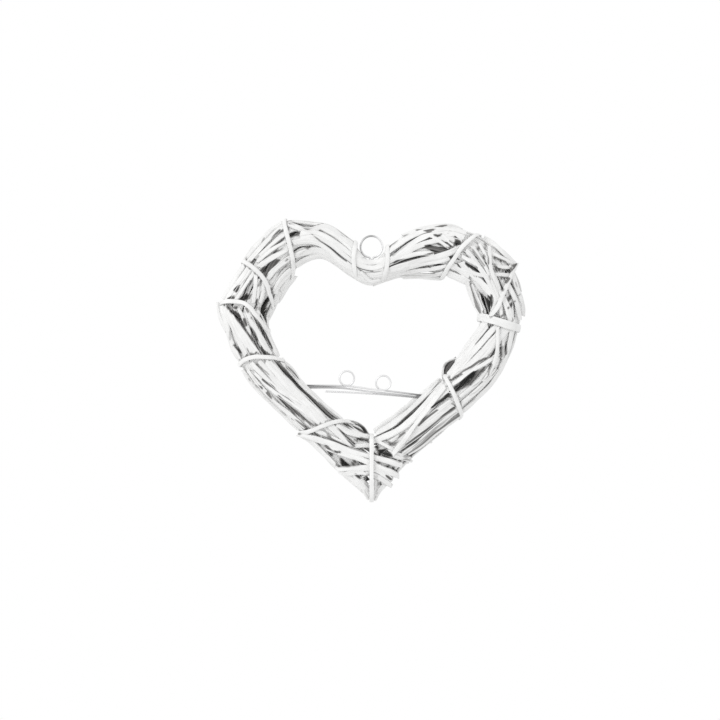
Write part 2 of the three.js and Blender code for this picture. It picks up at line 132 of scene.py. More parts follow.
# Sticks that the photograph shows at the front. Each piece stands for the named nodes, and each stick is
# (width, depth of its middle under the skin, its middle line as columns and rows of the photograph)
SEEN_STICKS = {
    "left_top_willow": (("left_top_front_sticks", "left_top_inner_sticks"), [
        (3.9, 1.1, (288, 224), (298, 228), (309, 231), (320, 226.5), (330, 227), (341, 236), (355, 247)),
        (3.8, 1.3, (321, 228), (333, 234), (344, 242), (355, 251), (362, 258)),
        (3.6, 1.1, (300, 234), (310, 231.5), (320, 233), (330, 239), (342, 248), (356, 258), (366, 263), (378, 262), (386, 258)),
        (3.6, 1.1, (300, 238), (311, 236), (320, 237.5), (330, 244), (342, 253), (355, 263), (366, 268), (378, 268), (388, 264)),
        (4.3, 1.1, (293, 243), (303, 240.5), (312, 240), (321, 244), (331, 251.5), (343, 262), (355, 270), (366, 275), (378, 275), (388, 271)),
        (4.2, 1.3, (294, 256), (304, 251.5), (314, 249.5), (324, 251), (334, 258), (345, 267), (356, 275), (366, 280), (377, 279.5), (386, 276)),
        (4.0, 1.1, (296, 266), (306, 259), (318, 254.5), (330, 258), (342, 267), (357, 278), (368, 283.5), (378, 283)),
    ]),
    "left_shoulder_willow": (("left_shoulder_front_sticks", "left_shoulder_inner_sticks"), [
        (3.3, 1.1, (282, 222), (271, 230), (260, 242), (249, 255), (243, 262)),
        (3.3, 1.1, (283, 227), (272, 236), (262, 247), (252, 258), (247, 264)),
        (2.6, 1.3, (286, 234), (276, 241.5), (266, 250), (256, 259)),
        (2.8, 0.6, (263, 239.5), (256, 244.5), (250.5, 250), (248, 255)),
        (2.6, 1.3, (287, 241), (276, 246.5), (266, 254), (257, 262)),
        (3.6, 1.1, (288, 249), (277, 255), (266, 261.5), (259, 267)),
        (3.6, 1.1, (291, 257), (281, 264), (272, 272), (267, 279)),
        (4.4, 1.1, (293, 269), (284, 277), (277, 286), (275, 294)),
        (4.2, 1.1, (294, 276), (287, 285), (281, 294), (277, 302)),
        (3.5, 1.1, (244, 265), (237, 277), (229, 289), (223, 299)),
        (3.0, 1.1, (248, 268), (240, 280), (232, 291), (227, 300)),
        (2.8, 1.7, (250.5, 270), (242.5, 282), (235.5, 293), (231, 301)),
        (2.6, 1.1, (254, 273), (246, 284), (239, 295), (235, 302)),
        (2.9, 1.1, (256, 275), (255, 288), (253, 303)),
        (2.1, 1.9, (259, 279), (258, 290), (257, 304)),
        (2.6, 1.5, (264, 281), (264, 291), (260, 303)),
        (4.0, 1.1, (279, 291), (275, 303), (270, 315), (266, 323)),
    ]),
    "left_side_willow": (("left_side_front_sticks", "left_side_inner_sticks"), [
        (4.0, 1.1, (222, 306), (226, 322), (229, 337), (234, 350), (239, 359)),
        (4.2, 1.1, (225, 307), (232, 323), (239, 339), (246, 355)),
        (2.6, 0.9, (217.5, 302), (218.5, 311), (221, 321), (226, 331)),
        (4.2, 1.0, (228, 311), (237, 327), (245, 341), (252, 355)),
        (4.0, 1.1, (231, 315), (242, 332), (251, 345), (259, 356)),
        (2.4, 2.4, (238, 308), (244, 319), (249, 331), (253, 341)),
        (1.9, 3.8, (228, 303), (234, 312), (241, 318)),
        (4.0, 1.1, (246, 306), (251, 319), (257, 332), (264, 344), (271, 355)),
        (3.4, 1.1, (256, 310), (262, 321), (268, 334), (272, 345), (278, 357)),
    ]),
    "left_lower_willow": (("left_lower_front_sticks", "left_lower_outer_sticks"), [
        (3.7, 1.1, (268.5, 361), (284.5, 380), (299.5, 395), (312.5, 407), (325.5, 421)),
        (3.7, 1.0, (266, 361), (282, 381), (298, 397), (311, 409), (324, 423)),
        (3.7, 1.1, (259, 361), (276, 382), (291, 396.5), (305, 409), (319, 423)),
        (3.4, 1.1, (251, 363), (262, 374.5), (272, 383.5), (281, 390.5), (292, 398), (304, 408)),
        (2.5, 1.2, (253, 371), (266, 384.5), (277, 393.5), (290, 402.5), (303, 411), (319, 424)),
        (2.6, 1.1, (248, 370), (262, 388.5), (275, 401.5), (290, 414), (306, 428)),
        (2.9, 1.1, (243, 370), (251, 384), (264, 396), (276, 407.5), (288, 419.5), (298, 430)),
        (2.8, 1.1, (284, 362), (293, 371), (301, 383), (312, 394.5), (326, 406.5), (341, 419)),
        (2.2, 4.0, (279, 361), (295, 379), (311, 397), (333, 417)),
    ]),
    "tip_left_willow": ((), [
        (4.0, 1.1, (336, 425), (346, 431), (355, 434.5), (369, 437)),
        (2.8, 0.2, (332, 422), (345, 421), (356, 422), (363, 427), (368, 434)),
        (4.2, 3.2, (338, 424), (350, 425.5), (360, 429.5), (368, 437)),
        (4.2, 1.0, (329, 425), (338, 434), (346, 441.5), (353, 447)),
        (3.9, 1.1, (316, 430), (325, 435.5), (335, 440.5), (346, 445)),
        (2.9, 1.1, (352, 447), (359, 445.5), (370, 446)),
        (3.2, 1.1, (300, 435), (311, 441), (320, 449), (327, 457), (336, 465)),
        (4.0, 1.1, (338, 470), (348, 475.5), (357, 482), (364, 490), (369, 499)),
        (4.0, 1.3, (342, 471), (353, 473), (362, 481), (369, 489)),
        (2.2, 1.1, (360, 479.5), (369, 472.5)),
        (3.4, 1.5, (352, 481), (362, 486), (369, 494)),
    ]),
    "tip_cross_willow": (("tip_front_stick_1", "tip_front_stick_2", "tip_front_stick_3", "tip_front_stick_4"), [
        (4.2, -2.2, (298, 434), (314, 438.5), (330, 443.5), (345, 449), (360, 453.5), (374, 457.5), (388, 461.5), (402, 465.5)),
        (4.2, -2.2, (326, 447), (340, 452.5), (353, 457), (367, 462), (379, 467), (389, 471.5), (399, 476)),
        (3.8, -2.2, (336, 468.5), (349, 468.5), (361, 467.5), (373, 468), (384, 474), (391, 479)),
        (3.4, -2.0, (344, 474), (356, 471.5), (368, 473), (379, 477), (387, 482), (392, 486)),
        (2.8, -0.6, (383, 453), (397, 457), (412, 461.5)),
        (2.4, 0.4, (388, 451), (399, 454), (410, 457.5)),
    ]),
    "right_lower_willow": (("right_lower_front_sticks", "right_lower_middle_sticks"), [
        (4.0, 1.1, (374, 431), (386, 422.5), (400, 413), (414, 401), (428, 390), (441, 379)),
        (4.0, 1.1, (376, 434), (388, 427), (400, 419), (411, 410), (424, 396.5), (439, 381)),
        (4.4, 1.1, (374, 441), (388, 435.5), (399, 430), (409, 422.5), (418, 413), (430, 400), (445, 384)),
        (3.8, 1.1, (414, 424), (428, 408), (440, 396), (449, 388)),
        (3.4, 1.1, (420, 420), (433, 405), (450, 392)),
        (3.6, 1.1, (413, 432), (422, 423), (435, 412), (452, 401)),
        (3.6, 1.1, (404, 442), (418, 431), (432, 420), (453, 405)),
        (3.6, 1.2, (395, 451), (412, 439.5), (428, 427.5), (444, 415), (456, 407)),
        (3.2, -1.5, (393, 455), (402, 442.5), (411, 430.5), (421, 417), (433, 402), (445, 386)),
        (2.6, 1.1, (374, 439), (383, 444), (394, 450)),
        (3.8, 1.1, (408, 453), (424, 443), (436, 431.5), (448, 423.5), (460, 415)),
        (3.4, 1.1, (402, 455), (420, 440.5), (434, 429), (448, 417.5), (459, 410)),
        (3.6, 1.3, (393, 478), (385, 484), (378, 491), (374, 500)),
        (4.4, 1.6, (376, 470), (377.5, 482), (375, 496)),
        (4.0, 1.8, (378, 470), (382, 478), (382, 486)),
        (3.6, 1.5, (384, 470), (388, 476), (390, 482)),
    ]),
    "right_side_willow": (("right_side_front_sticks",), [
        (3.8, 1.1, (457, 362), (469, 345), (478, 332), (487, 321)),
        (3.8, 1.1, (447.5, 375), (455.5, 367), (465, 354), (477, 339), (488, 326)),
        (4.0, 1.1, (450, 375), (466, 360), (480, 344.5), (491, 332), (498, 325)),
        (4.0, 1.0, (451, 378), (468, 366), (482, 352), (494, 339), (504, 327)),
        (3.8, 1.1, (462, 373), (476, 363), (488, 353), (498, 339), (509, 328)),
        (2.7, 1.1, (452, 385), (462, 378), (474, 370), (488, 361.5), (498, 354)),
        (3.0, 1.1, (460, 397), (473, 387.5), (484, 376), (492, 366)),
        (3.3, 1.1, (461, 404), (474, 393), (487, 381), (497, 369)),
        (3.0, 1.1, (462, 412), (477, 398), (490, 385), (500, 371)),
        (2.6, -1.3, (498, 327), (498, 345), (496, 360), (491, 372), (483, 381)),
        (2.4, 1.9, (503, 327), (503, 343), (503, 358)),
        (3.4, 1.1, (512, 327), (510, 343), (505, 360), (498, 375)),
        # Two deep sticks left dark all over: painted shade in the hollow inside the binding's loop.
        (5.0, 5.5, (446, 374), (448, 366), (456, 361)),
        (3.6, 5.5, (443.5, 375), (445, 366), (451, 361)),
        (1.6, 2.0, (443, 381), (442, 372), (443, 364), (448, 360), (457, 358)),
    ]),
    "right_shoulder_willow": (("right_shoulder_front_sticks", "right_shoulder_middle_sticks",
                               "right_shoulder_inner_sticks"), [
        (3.2, 1.1, (465, 271), (468, 284), (471, 297), (477, 309), (485, 319)),
        (1.9, 2.6, (472, 284), (477, 297), (483, 311)),
        (4.4, 1.1, (461, 262), (471, 273), (482, 284), (492, 294)),
        (3.6, 1.1, (466, 250), (476, 262), (485, 275), (493, 289), (497, 300), (491, 315)),
        (2.6, 0.2, (472, 246), (480, 257), (487, 270), (494, 284), (500, 300), (502, 318)),
        (2.6, 1.1, (479, 244), (486, 256), (492, 270), (499, 287), (505, 305), (510, 322)),
        (2.5, -1.4, (489, 246), (490, 260), (491, 272), (497, 285), (502, 296)),
        (2.9, -1.5, (517, 263), (512, 274), (506, 286), (502, 297), (498, 308), (490, 317)),
        (3.0, 1.1, (489, 253), (500, 257.5), (510, 262), (517, 266)),
        (2.5, 1.1, (492, 266), (503, 267.5), (514, 268.5)),
        (2.7, 1.1, (490, 274), (500, 275), (512, 276)),
        (3.3, 1.1, (511, 267), (514, 280), (519, 293), (523, 306), (523, 316)),
        (3.3, 1.1, (505, 280), (512, 292), (518, 305), (520, 320)),
        (3.0, 1.1, (501, 292), (506, 303), (511, 313), (514, 324)),
        (3.5, 1.1, (484, 237), (493, 243), (504, 254), (514, 263)),
        (2.6, 1.1, (464, 269), (474, 273), (484, 275.5)),
        (4.4, 1.1, (447, 273), (458, 277), (468, 282)),
        (4.4, 1.2, (449, 264), (459, 269), (469, 277)),
        (2.8, 1.1, (462, 256), (472, 262), (481, 269), (488, 279)),
    ]),
    "right_top_willow": (("right_top_front_sticks", "right_top_middle_sticks", "right_top_inner_sticks"), [
        (2.8, 1.1, (403, 236), (418, 229.5), (434, 227), (450, 224.5), (460, 229)),
        (3.9, 1.1, (385, 254), (396, 245.5), (408, 238), (420, 232.5), (434, 230), (452, 229), (466, 233)),
        (3.9, 1.1, (381, 264), (392, 260), (402, 251), (413, 243), (424, 237), (437, 234), (452, 234), (464, 238)),
        (3.9, 1.1, (374, 268), (386, 264.5), (399, 257.5), (411, 250), (422, 244.5), (433, 241), (447, 238.5), (462, 242)),
        (3.3, 1.1, (392, 263), (403, 257.5), (414, 253.5), (424, 252.5), (434, 254)),
        (2.5, 0.6, (431, 235), (440, 242), (449, 248)),
        (2.3, 0.6, (441, 235), (449, 242), (456, 247)),
        (4.3, 1.1, (374, 272), (386, 271), (400, 267), (418, 261.5), (436, 257), (450, 252.5), (464, 246)),
        (3.9, 1.1, (374, 276), (388, 273.5), (402, 269), (416, 264.5), (431, 262), (450, 258.5)),
        (2.6, 1.1, (374, 280), (388, 276.5), (402, 272.5), (416, 270.5), (430, 269.5), (447, 265.5)),
        (3.0, 1.1, (374, 284), (388, 278.5), (402, 274.5), (418, 274), (431, 275.5), (445, 272.5)),
        (3.0, 1.1, (402, 277), (416, 276.5), (430, 277.5), (443, 278.5)),
    ]),
}

# Where a binding crosses the front, from the heart's outer edge to its inner edge, in the photograph
BINDING_ROUTES = {
    "left_top_binding": ((285, 219), (288, 235), (291, 248), (294, 262), (293, 281)),
    "left_shoulder_binding": ((241, 261), (252, 266.5), (262, 275), (268, 285), (271, 297), (273, 310)),
    "left_side_binding": ((217, 303), (232, 301.5), (246, 303.5), (254, 310), (262, 321), (267, 331)),
    "left_waist_binding": ((240, 365), (246, 359), (256, 356.5), (268, 357.5), (282, 361)),
    "left_lower_binding": ((298, 433), (309, 430.5), (321, 425.5), (333, 422), (346, 421), (358, 422.5)),
    "right_top_binding": ((481, 234), (470, 240), (461, 248), (453, 260), (446, 270), (441, 280)),
    "right_side_binding": ((515, 328), (505, 325), (495, 321.5), (483, 318)),
    "right_lower_binding": ((461, 419), (457, 404), (452, 391), (445.5, 377)),
}

# Painted shade in the gaps between the sticks, on their shaded outer sides and on the tip, laid as bare dark wood: (how
# strong, then column, row and half width in pixels)
SHADE_LINES = [
    # Left, from the cleft to the top binding
    (0.75, (287, 219, 1.5), (290, 222, 2.4), (297, 224, 1.2), (302, 226.5, 1.0), (307, 229, 1.3), (314, 227, 1.0),
     (321, 223.5, 1.4), (324, 223.5, 0.8)),
    (0.85, (332, 225.5, 1.4), (337, 229, 1.3), (343, 234.5, 1.7), (348, 237, 1.6)),
    (0.6, (348, 237, 1.2), (353, 241, 0.9), (359, 242, 1.8)),
    (0.55, (320, 230, 1.6), (326, 233, 0.9), (333, 236.5, 1.0), (338, 240, 0.9), (341, 243.5, 0.8)),
    (0.9, (311, 233.5, 0.7), (316, 237.5, 0.9), (321, 241.5, 1.1), (327, 245.5, 1.1), (332, 249, 1.3),
     (337, 253, 1.6), (342, 257.5, 1.3), (347, 261, 1.0)),
    (1.4, (291, 236, 2.0), (294.5, 234.5, 2.8), (297.5, 233.5, 1.8)),
    (0.95, (306.5, 249, 1.0), (310, 246.5, 1.5), (312.5, 245, 1.0)),
    (0.6, (291.5, 241, 0.7), (293, 248, 0.9), (294, 254, 2.0), (295, 262, 0.8), (295, 272, 0.8), (293, 280, 0.8)),
    (0.6, (286.5, 222, 0.8), (288, 231, 0.8)),
    (0.5, (296, 257.5, 1.0), (301, 254, 0.8), (306, 250, 0.7)),
    (0.35, (314, 253, 0.8), (320, 250.5, 1.2)),
    (0.4, (348, 249, 1.2), (348, 250, 1.0)),
    (0.6, (353.5, 243, 0.8), (357, 249, 0.9), (361.5, 255, 0.7)),
    (0.7, (357, 266.5, 1.2), (360, 270, 1.3), (364, 272.5, 1.2), (371, 272.5, 0.9), (378, 271.5, 0.6), (383, 271, 0.5)),
    (0.35, (358, 275, 0.7), (364, 274, 0.9)),
    (0.3, (373, 281, 1.2), (374, 283, 1.0)),
    # Left, from the top binding to the shoulder binding
    (0.75, (280, 230.5, 2.0), (276, 233.5, 1.5), (272, 238, 1.0)),
    (0.4, (272, 238, 1.0), (266, 246, 0.8), (260, 253, 0.8)),
    (0.6, (283, 239.5, 2.0), (279, 242, 1.6), (274, 245, 0.9), (270, 248, 0.6)),
    (0.85, (285, 247.5, 0.8), (280, 250.5, 1.2), (275, 252.5, 1.5), (272, 253.5, 0.9)),
    (0.7, (270, 255.5, 1.0), (267, 257.5, 1.6), (263, 261, 0.8)),
    (1.5, (279, 260, 1.0), (274, 263.5, 2.2), (268, 268, 3.2), (263, 271, 3.0)),
    (0.9, (266, 272, 2.5), (265, 278, 1.5)),
    (0.65, (287, 260, 1.7), (286.5, 265, 1.5), (282, 269, 1.1), (276, 274, 1.1), (271, 280, 1.0)),
    (0.8, (258, 256, 1.4), (255, 259, 1.2), (251, 263, 1.4), (247, 260, 1.2), (246, 257, 1.2)),
    (0.5, (250, 250, 1.1), (254, 247, 1.0)),
    (0.5, (252, 266, 0.7), (258, 271, 0.9), (262, 276, 1.0)),
    (0.75, (268.5, 282, 0.9), (271, 288, 1.4), (272.5, 293, 1.3), (273.5, 302, 0.8), (275, 309, 0.6)),
    # Left, from the shoulder binding to the side binding
    (0.5, (246, 278.5, 1.0), (241, 284, 1.1)),
    (1.4, (238.5, 286.5, 1.4), (236, 290, 2.5)),
    (1.3, (233, 297, 2.0), (230.5, 298.5, 1.8), (227, 299, 0.8)),
    (1.5, (251, 294.5, 1.6), (247, 297, 3.0), (243, 299, 2.6), (239, 301, 0.9)),
    (0.45, (249, 285, 3.0), (246, 291, 3.5)),
    (0.7, (250.5, 281.5, 1.8), (250, 284, 1.3)),
    (0.8, (260.5, 281.5, 1.6), (259, 286, 1.5)),
    (0.8, (258, 299.5, 1.6), (256, 304, 2.0), (257, 309, 1.6)),
    (1.5, (268, 298, 1.6), (265, 303, 2.6), (262.5, 310, 3.2), (263, 317, 3.0), (265, 322, 2.0)),
    (0.4, (268, 308, 2.5), (268, 316, 2.5)),
    (0.3, (262, 290, 1.5), (259, 297, 1.5)),
    (0.35, (240, 264, 1.2), (238.5, 269, 1.2), (235.5, 276, 0.8)),
    (0.6, (222, 299.5, 0.5), (233, 300.5, 0.8), (243, 301.5, 0.9), (250, 304, 0.8)),
    # Left, from the side binding to the waist binding
    (0.5, (218.5, 304, 1.2), (218.5, 307, 1.2)),
    (0.9, (226, 305.5, 1.7), (229, 309, 1.5)),
    (0.9, (234, 307, 1.3), (237, 307, 1.5)),
    (1.5, (231, 311.5, 1.6), (235, 313, 2.5), (238, 317, 3.0), (239, 321, 1.6)),
    (1.0, (239, 321, 1.4), (243, 327, 1.6), (248, 334, 1.3), (254, 342, 2.2), (260, 349, 2.4), (266, 354, 2.4)),
    (1.0, (244.5, 319, 1.7), (245, 325, 2.4)),
    (1.0, (251, 328, 1.3), (253.5, 334, 2.4), (257, 340, 1.8)),
    (0.95, (246, 308, 1.6), (248, 311.5, 1.4)),
    (1.0, (251, 317, 1.2), (256, 322.5, 2.0), (261, 329, 2.2), (265, 336, 2.4), (269, 343, 1.8), (272.5, 349, 0.9)),
    (0.5, (230, 331, 1.5), (230, 340, 1.8)),
    (0.25, (229, 322, 1.0), (230, 331, 1.5)),
    (0.95, (234, 345, 1.5), (238, 348.5, 2.0), (241.5, 353, 1.8)),
    (0.8, (247, 349, 1.2), (249, 353, 0.9)),
    (0.95, (245.5, 357.5, 2.0), (248, 357.5, 1.6), (251, 354.5, 1.7)),
    (0.9, (251, 354.5, 1.5), (257, 353, 1.2), (263, 353, 1.5), (270, 355.5, 1.8), (276, 358, 1.5), (280, 360, 0.9)),
    (0.5, (241, 364, 1.0), (245, 361, 1.0)),
    # Left, from the waist binding to the lower binding
    (1.0, (274, 362, 1.5), (280, 368, 2.0), (285, 374, 2.3), (291, 380, 2.3), (297, 386, 1.9), (304, 393, 2.0),
     (312, 401, 2.2), (320, 409, 2.2), (327, 416, 2.6), (333, 419, 2.6)),
    (0.85, (287, 367, 1.5), (292, 371, 2.0), (295, 375, 1.8), (299, 380, 0.8)),
    (0.5, (281, 361, 0.8), (286, 364, 0.9)),
    (0.5, (285, 368, 1.2), (291, 376, 1.6), (298, 383, 1.0)),
    (0.6, (319, 402, 0.8), (327, 410, 1.6), (334, 416, 2.4), (341, 419.5, 1.0)),
    (0.85, (257, 364.5, 1.8), (260, 367, 1.2), (265, 371, 1.1), (269, 375, 0.8)),
    (0.55, (251.5, 371, 1.2), (254, 373.5, 1.2)),
    (0.9, (263, 379.5, 1.4), (268, 383.5, 1.6), (273, 387, 1.5), (277, 391, 0.8)),
    (0.5, (277, 391, 0.8), (286, 396, 0.8), (295, 401, 1.0), (301, 405, 1.2)),
    (1.0, (278, 396, 1.4), (283, 401, 1.8), (289, 406, 2.8), (295, 411, 2.8), (301, 416, 1.9), (308, 421, 2.0),
     (314, 425, 1.9), (319, 427, 1.2)),
    (0.9, (249, 379.5, 1.8), (250, 381, 1.4)),
    (1.0, (256, 385.5, 1.4), (261, 388, 2.0)),
    (1.1, (267, 393, 1.8), (271, 398, 1.4)),
    (0.5, (272, 399, 1.0), (280, 403, 0.9)),
    (1.0, (282, 411, 1.5), (286, 415, 1.2)),
    (0.85, (291, 418.5, 0.9), (297, 421, 1.4), (303, 425.5, 1.4), (309, 430, 1.8)),
    (0.8, (299, 434, 1.6), (303, 432.5, 1.2)),
    # The tip, left of its binding
    (0.85, (331, 421, 1.2), (345, 421, 1.0), (357, 422, 1.2), (363, 426, 1.6), (368, 433, 1.4)),
    (1.5, (345, 424, 1.0), (352, 425.5, 2.6), (358, 427, 3.2), (363, 429.5, 3.0), (367, 433, 1.4)),
    (1.0, (337.5, 428.5, 1.5), (343, 433.5, 1.6), (349, 440, 1.8), (354, 445, 2.2)),
    (0.95, (356, 440.5, 1.8), (361, 438.5, 2.0), (368, 440, 1.8)),
    (0.95, (311, 432.5, 1.1), (319, 435.5, 1.3), (327, 438, 1.5), (336, 441.5, 1.3), (344, 445, 1.1),
     (353, 448.5, 1.3), (361, 450.5, 1.4), (367, 452, 1.6)),
    (0.8, (327, 433.5, 1.4), (331, 437, 1.3)),
    (0.5, (317, 441, 0.9), (321, 446, 1.1)),
    (1.0, (324, 443.5, 1.2), (328, 448, 1.8), (331, 453, 2.8), (338, 452, 1.4), (341, 452, 1.0)),
    (1.5, (342, 460, 2.8), (344, 464, 2.8), (348, 465, 2.0)),
    (1.0, (354, 461, 2.2), (353, 464.5, 2.2), (358, 465, 1.2)),
    (0.9, (338, 467, 1.1), (348, 466.5, 1.2), (359, 465.5, 1.2)),
    (0.6, (359, 465.5, 1.0), (367, 465, 1.0)),
    (0.7, (364, 458.5, 0.8), (367, 458, 1.1)),
    (1.0, (355, 474, 1.2), (358, 476.5, 1.7), (360.5, 478.5, 1.3)),
    (0.8, (364, 471.5, 1.0), (368, 470.5, 1.1)),
    (0.85, (364, 478, 1.0), (368, 475.5, 1.6)),
    (0.7, (361, 490, 1.5), (362, 492, 1.2)),
    (0.35, (366, 484, 1.8), (366, 486, 1.2)),
    (0.42, (370, 478, 6.0), (371, 500, 7.0)),
    # The tip, right of its binding
    (1.0, (379.5, 484, 2.3), (379, 485, 2.0)),
    (0.5, (377, 474, 1.4), (377.5, 486, 1.6), (376, 497, 1.6)),
    (1.0, (386, 441, 1.6), (390, 444, 1.8), (394, 445, 1.8), (397, 441, 1.4), (401, 436, 1.5), (405, 431, 1.2)),
    (1.5, (376, 447, 1.5), (380, 452, 3.0), (385, 453, 3.6), (389, 455, 3.0)),
    (0.9, (389, 457, 1.6), (395, 459.5, 1.6), (400, 462, 1.5)),
    (1.0, (378, 462, 1.8), (379, 462, 1.6)),
    (1.0, (383, 466, 1.0), (388, 468, 1.4), (390, 466, 1.2), (394, 470, 1.8), (398, 472.5, 1.5)),
    (1.0, (386, 475.5, 1.1), (389, 477.5, 1.6), (391, 479.5, 1.2)),
    (0.6, (391.5, 483, 1.0), (392, 486, 0.8)),
    (0.8, (402, 460, 0.9), (406, 459.5, 1.2), (410, 460, 1.4)),
    (0.8, (411, 455, 1.3), (412, 458, 1.0)),
    # Right, from the tip to the lower binding
    (1.0, (375, 437.5, 1.4), (383, 433.5, 1.2), (391, 429.5, 1.1), (398, 425.5, 1.3), (404, 420.5, 2.2),
     (411, 414.5, 2.6), (417, 408.5, 2.0), (424, 401, 1.6), (431, 393, 1.5), (436, 386, 1.0), (440, 380, 1.5)),
    (0.5, (372, 431, 1.2), (379, 425, 1.2), (388, 420, 1.1), (397, 413, 1.0), (405, 405, 1.0), (411, 400, 0.8)),
    (1.5, (432, 407.5, 1.0), (438, 402.5, 1.3), (444, 398.5, 1.8), (448.5, 395, 2.4)),
    (1.0, (419, 425, 1.2), (424, 419.5, 1.9), (431, 414, 1.6), (438, 409.5, 1.0)),
    (1.0, (401, 451, 1.6), (407, 446, 2.2), (414, 441, 2.6), (421, 435, 2.0), (428, 429.5, 1.6), (436, 423, 1.5),
     (444, 416, 1.6), (450, 411.5, 2.0), (454, 408, 2.2)),
    (0.5, (404, 455, 1.5), (414, 448, 2.0), (424, 440, 2.2), (432, 433, 2.0), (438, 428, 1.2)),
    (0.62, (406, 456, 3.0), (424, 443, 4.5), (438, 431, 5.0), (457, 416, 4.5)),
    (0.6, (455, 397, 0.7), (457, 404, 0.9), (459.5, 404, 1.4)),
    # Right, from the lower binding to the side binding
    (1.5, (455, 360, 1.6), (450, 363, 3.0), (447, 367, 3.2), (444, 364, 2.6)),
    (0.6, (442, 371, 1.3), (442, 376, 1.0), (443, 379, 0.8)),
    (1.6, (456, 389, 3.2), (461, 386, 3.8), (467, 380.5, 3.6), (474, 373, 2.0)),
    (1.0, (465, 385, 3.4), (473, 378, 3.4), (479, 372, 2.8), (484, 369, 2.0)),
    (1.0, (451, 380.5, 1.4), (456, 376.5, 1.1), (463, 371, 1.0), (471, 367, 1.2), (479, 361.5, 1.4), (486, 358, 1.4)),
    (1.0, (490, 356, 2.2), (493.5, 352.5, 2.0), (494.5, 350, 1.2)),
    (0.6, (453, 377, 0.8), (459, 371.5, 0.8), (464, 369, 0.8)),
    (0.9, (488, 364, 1.0), (491, 365, 2.0), (489, 371, 1.2), (488, 376, 0.9)),
    (0.75, (500, 361, 1.6), (501, 358, 0.8)),
    (0.7, (498, 367, 1.1), (496, 372, 1.2), (493, 376, 1.5)),
    (0.55, (472, 387, 0.8), (480, 382, 0.9), (487, 377.5, 1.0)),
    (0.4, (468, 396, 1.5), (476, 392, 1.0), (483, 386, 1.3)),
    (0.5, (460, 403, 1.6), (463, 401, 1.2)),
    (0.35, (466, 405, 1.5), (475, 399, 1.5)),
    (0.95, (492, 325, 1.9), (488, 330, 1.3), (484, 335, 1.2), (479, 341, 1.1), (475, 345, 0.6)),
    (0.9, (500, 345, 1.4), (500.5, 355, 1.8)),
    (0.8, (506, 340, 1.2), (506, 354, 1.5)),
    (0.65, (503, 348, 2.5), (503, 356, 2.5)),
    (0.35, (513, 330, 1.2), (512.5, 341, 1.6)),
    # Right, from the side binding to the top binding
    (1.5, (482, 293, 1.5), (484.5, 300, 3.0), (488, 303, 4.2), (489, 309, 3.0), (488, 314, 1.8)),
    (1.5, (490, 296, 2.0), (490, 302, 2.6)),
    (0.75, (470, 284, 1.2), (472.5, 291, 1.2), (475, 299, 1.8), (477.5, 306, 2.6), (480.5, 313, 1.4)),
    (0.5, (477, 288, 0.9), (479, 296, 0.8)),
    (0.85, (486, 316, 1.2), (493, 317.5, 1.2), (499, 318, 1.8), (504, 314.5, 1.6)),
    (0.7, (499, 319, 1.0), (506, 321, 1.0), (511, 323.5, 1.0)),
    (0.7, (512, 322, 1.0), (513.5, 318, 1.3), (516, 315, 0.7)),
    (1.0, (466, 263, 1.4), (470, 265.5, 2.3), (475, 267.5, 1.8), (478, 268.5, 1.0)),
    (1.0, (459, 265, 2.1), (460, 266, 1.8)),
    (0.75, (467, 255.5, 1.2), (470, 257, 1.1)),
    (0.95, (478, 247.5, 2.0), (479.5, 249.5, 1.4)),
    (0.8, (472.5, 249, 1.0), (476, 254, 1.1), (480, 260, 1.2), (484, 265.5, 1.3)),
    (0.9, (483.5, 256, 1.9), (484.5, 257.5, 1.5)),
    (0.8, (485, 245, 1.8), (487, 248, 1.2)),
    (0.7, (488.5, 257, 0.8), (488.5, 264, 1.3)),
    (0.6, (492, 249.5, 1.6), (491, 249, 1.0)),
    (0.95, (494, 257.5, 1.6), (498, 259, 1.2), (503, 261, 1.1), (506, 262, 0.8)),
    (1.0, (495, 265.5, 1.6), (497, 269, 1.8), (503, 270.5, 1.5), (510, 271, 1.8), (513, 267, 2.2), (516, 264, 1.4)),
    (1.0, (501, 277.5, 1.3), (505, 279, 1.8), (509, 278.5, 1.5), (506, 282.5, 1.6)),
    (1.0, (502, 289.5, 2.0), (503.5, 290, 1.4)),
    (0.85, (489, 276, 1.1), (490.5, 280.5, 1.0)),
    (0.75, (471, 275.5, 0.8), (476, 276.5, 0.9), (482, 277, 0.8)),
    (1.0, (510, 297, 1.8), (508.5, 300, 1.5)),
    (0.9, (515, 300.5, 1.1), (511.5, 304.5, 1.2), (508.5, 308, 1.8)),
    (0.7, (516, 283, 1.7), (517.5, 287, 1.3)),
    (0.5, (513, 290, 1.0), (516, 294, 0.8)),
    (0.8, (521, 294, 1.6), (519, 296, 1.0)),
    (0.6, (502.5, 309, 1.1), (504.5, 313, 1.1)),
    (0.4, (499, 300, 0.9), (495, 305, 0.8)),
    (0.25, (518, 308, 2.5), (521, 316, 2.0)),
    (0.4, (523, 300, 0.9), (525, 312, 1.2)),
    (0.95, (468.5, 238, 1.3), (472, 236, 1.7), (475.5, 236, 1.2)),
    (0.8, (465.5, 242.5, 1.7), (467, 241.5, 1.2)),
    (0.35, (491, 262, 0.6), (494, 275, 0.7), (499, 292, 0.8)),
    # Right, from the top binding to the cleft
    (1.3, (388, 247.5, 1.1), (392, 244, 1.7), (397, 241.5, 1.2)),
    (0.7, (403, 236.5, 1.4), (409, 234.5, 1.3)),
    (1.1, (416, 230, 0.9), (423, 230, 1.1), (428, 231, 1.3), (436, 227.5, 1.3), (442, 226, 1.3), (447, 225, 1.0)),
    (1.0, (393, 255.5, 1.2), (398, 251, 1.3), (403, 247, 1.4), (410, 241.5, 1.4), (416, 238, 1.3), (423, 234.5, 1.0),
     (430, 232, 1.2), (433, 230, 0.9)),
    (0.85, (418, 243.5, 0.8), (424, 241, 1.1), (430, 238.5, 1.4)),
    (1.5, (426, 247, 1.8), (430, 246.5, 2.2), (433, 249, 2.5), (438, 249.5, 2.0), (444, 248.5, 1.6)),
    (0.9, (439, 243.5, 1.2), (443, 246.5, 1.4)),
